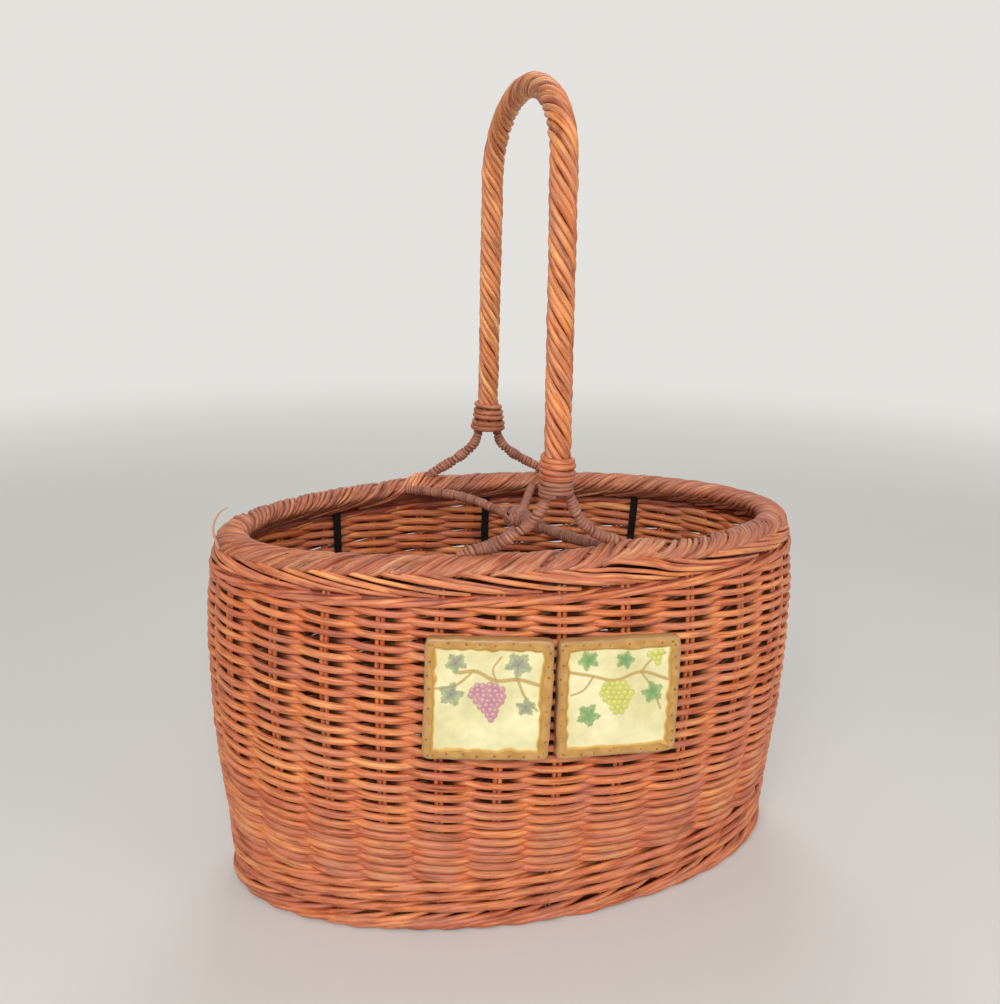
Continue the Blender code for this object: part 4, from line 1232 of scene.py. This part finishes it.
def paintTile(u, v, design):
    # the sprig first, then the border
    seed = design["seed"]
    wavy = tile["half"] - np.maximum(np.abs(u), np.abs(v)) + 1.5 * waveField(u, v, seed, 0.5)
    under, over = tile["field"]
    paint = np.tile(np.array(linear(under)[:3]), (len(u), 1))
    paint = brushed(paint, (over, 0.5 + 1.6 * waveField(u, v, seed + 1, 0.12)))
    for thick, stem in design["stems"]:
        line = smoothPath(np.array(stem, float), 1.5)
        for colour, width in zip(tile["stem"], (thick, 0.5 * thick)):
            paint = brushed(paint, (colour, 0.8 * strokeShare(u, v, line, width)))
    for leaf in design["leaves"]:
        paint = paintLeaf(paint, u, v, leaf, design)
    for x, y, radius in design["berries"]:
        distance = np.hypot(u - x, v - y)
        shine = beside(np.hypot(u - x + radius * 0.3, v - y - radius * 0.35), radius * 0.55)
        paint = brushed(
            paint, (design["berryColour"], within(radius - distance, 0.3)),
            (design["berryEdge"], 0.6 * beside(distance - radius, 0.4)), (design["berryShine"], 0.8 * shine),
        )
    border = within(tile["frameWidth"] - wavy, 0.5)
    paint = brushed(
        paint, (tile["frame"], border),
        (tile["frameStreaks"], 0.6 * border * np.clip(0.5 + 1.4 * waveField(u, v, seed + 5, 0.7), 0, 1)),
        (tile["frameEdge"], 0.85 * np.clip((2.6 - wavy) / 1.5, 0, 1)),
        (tile["frameGroove"], 0.5 * beside(wavy - 5.5, 0.4)),
        (tile["frameLine"], 0.95 * np.clip(1.3 - np.abs(wavy - 6.3) / 0.6, 0, 1)),
    )
    rng = np.random.default_rng(seed + 9)
    for side in range(4):
        for number in range(tile["dotsPerSide"]):
            at = -tile["half"] + 4.5 + number * tile["dotGap"] + rng.normal(0, 1.2)
            inward = tile["half"] - 3.0 + rng.normal(0, 0.5)
            x, y = ((at, inward), (at, -inward), (inward, at), (-inward, at))[side]
            dot = within(rng.uniform(0.4, 0.75) - np.hypot(u - x, v - y), 0.3)
            paint = brushed(paint, (tile["dots"], 0.85 * dot))
    return paint, wavy


def tileDesigns():
    # two plain sprigs with round berries, one mauve and one yellow green
    rng = np.random.default_rng(53)

    def cluster(x, y, rows):
        berries = []
        for row, count in enumerate(rows):
            for number in range(count):
                across = x + 0.5 * row + (number - (count - 1) / 2) * 3.1 + rng.normal(0, 0.3)
                berries.append((across, y - row * 2.7 + rng.normal(0, 0.25), rng.uniform(1.55, 1.95)))
        return berries

    # stems are a width and a line, leaves a middle, a turn and a size
    left = {
        "seed": 61, "leafColour": "#A5B47A", "leafMiddle": "#988F8C", "veinColour": "#6F7660",
        "berryColour": "#C98F98", "berryEdge": "#99606E", "berryShine": "#EFC6C0",
        "stems": (
            (1.9, ((27, 9), (15, 12), (4, 11), (-8, 16), (-15, 15))), (1.3, ((-8, 16), (-17, 8), (-27, 6))),
            (1.3, ((15, 12), (19, 3), (26, -5))), (1.0, ((4, 11), (2, 17), (6, 24))),
        ),
        "leaves": ((15, 20, 0.9, 7.5), (-17, 20, 2.2, 6), (20, -3, -0.9, 5.5), (-19, 3, 3.9, 7)),
        "berries": cluster(-1, 8, (4, 6, 6, 5, 4, 3, 2, 1)),
    }
    right = {
        "seed": 67, "leafColour": "#93B069", "leafMiddle": "#6E9C62", "veinColour": "#4F7C46",
        "berryColour": "#CFCB66", "berryEdge": "#A8A648", "berryShine": "#ECE79A",
        "stems": (
            (1.7, ((-27, 16), (-14, 13), (-3, 10), (12, 14), (27, 9))), (1.2, ((12, 14), (18, 21), (25, 24))),
            (1.1, ((-14, 13), (-20, 5), (-26, 3))), (1.2, ((12, 14), (19, 4), (24, -8))),
        ),
        "leaves": ((-17, 22, 2.0, 6), (3, 21, 1.3, 5.5), (19, 2, -0.7, 6.5), (-16, -9, 3.6, 7)),
        "berries": cluster(-2, 8, (4, 5, 6, 5, 4, 3, 2)) + cluster(20, 24, (3, 2, 1)),
    }
    return left, right


def tileBlank(name):
    # a fine grid for the face, a skirt and a flat back
    bm = bmesh.new()
    size = (tile["half"] - 0.3) * mm
    bmesh.ops.create_grid(bm, x_segments=tile["cells"], y_segments=tile["cells"], size=size)
    outer = bmesh.ops.extrude_edge_only(bm, edges=[edge for edge in bm.edges if edge.is_boundary])
    for item in outer["geom"]:
        if isinstance(item, bmesh.types.BMVert):
            item.co.z = -tile["thickness"] * mm
    bmesh.ops.holes_fill(bm, edges=[edge for edge in bm.edges if edge.is_boundary], sides=0)
    bmesh.ops.recalc_face_normals(bm, faces=bm.faces)
    mesh = bpy.data.meshes.new(name)
    bm.to_mesh(mesh)
    bm.free()
    return mesh


def makePlaques():
    places = (
        # name, middle of the back, turns about X, Y and Z
        ("left", (-39.0 * mm, -93.3 * mm, 157.7 * mm), (87, 1.9, -11.0)),
        ("right", (31.2 * mm, -96.4 * mm, 153.4 * mm), (87.5, 0.1, -3.8)),
    )
    for (name, place, turns), design in zip(places, tileDesigns()):
        mesh = tileBlank(f"tile_{name}")
        count = len(mesh.vertices)
        corners = np.empty(count * 3, np.float32)
        mesh.vertices.foreach_get("co", corners)
        u, v, height = corners.reshape(-1, 3).T.astype(float) / mm
        paint, wavy = paintTile(u, v, design)
        front = height > -0.5 * tile["thickness"]
        edge = tile["half"] - np.maximum(np.abs(u), np.abs(v))
        # the panel lies lower than its frame, whose edge is rounded
        step = np.clip((wavy - 5.4) / 1.4, 0, 1)
        relief = 0.18 * waveField(u, v, design["seed"] + 4, 0.5) * (1 - step) - 0.15
        relief -= tile["panelDrop"] * step * step * (3 - 2 * step)
        relief -= 1.8 * (1 - np.sqrt(1 - np.clip(1 - edge / 2.2, 0, 1) ** 2 * 0.98))
        # pressed by hand: ragged sides and round corners
        ragged = np.clip(0.35 + 0.7 * waveField(u, v, design["seed"] + 3, 0.35), 0, 0.9)
        corner = np.clip((np.minimum(np.abs(u), np.abs(v)) - 28) / 6, 0, 1) ** 2
        pull = 1 - (ragged + 1.1 * corner) / tile["half"] * np.clip((6 - edge) / 3, 0, 1)
        height = np.where(front, tile["thickness"] + relief, 0)
        corners = np.column_stack((u * pull, v * pull * tile["taller"], height)) * mm
        mesh.vertices.foreach_set("co", corners.astype(np.float32).ravel())
        paint = np.where(front[:, None], paint, np.array(linear(tile["back"])[:3]))
        layer = mesh.attributes.new("tilePaint", "FLOAT_COLOR", "POINT")
        layer.data.foreach_set("color", np.insert(paint, 3, 1, axis=1).astype(np.float32).ravel())
        x, y, z = (Matrix.Rotation(math.radians(turn), 4, axis) for turn, axis in zip(turns, "XYZ"))
        mesh.transform(Matrix.Translation(place) @ (z @ y @ x))
        mesh.shade_smooth()
        mesh.set_sharp_from_angle(angle=0.8)
        finishPiece(f"tile_{name}", mesh, "paintedResin", [f"plaque_{name}"])
        print(f"tile_{name}: {count} points")


def dressStraps():
    for name in ("strap_left", "strap_middle", "strap_right"):
        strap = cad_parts[name]
        strap.data.materials.clear()
        strap.data.materials.append(materials["blackPaintedSteel"])
    print("straps dressed")


addCamera()
addStudio()
materials = makeMaterials()
for make in (
    makeStakes, makeSideWeave, makeUpsett, makeFoot, makeTopWale, makeRim, makeFloorWeave, makeHandle,
    makeCollars, makeLegs, makeCross, makeRimBinding, makeLooseEnd, makePlaques, dressStraps,
):
    make()

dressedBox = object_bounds()
boxes = {"cad": cadBox, "visual": dressedBox}
{name: [list(corner) for corner in box] for name, box in boxes.items()}
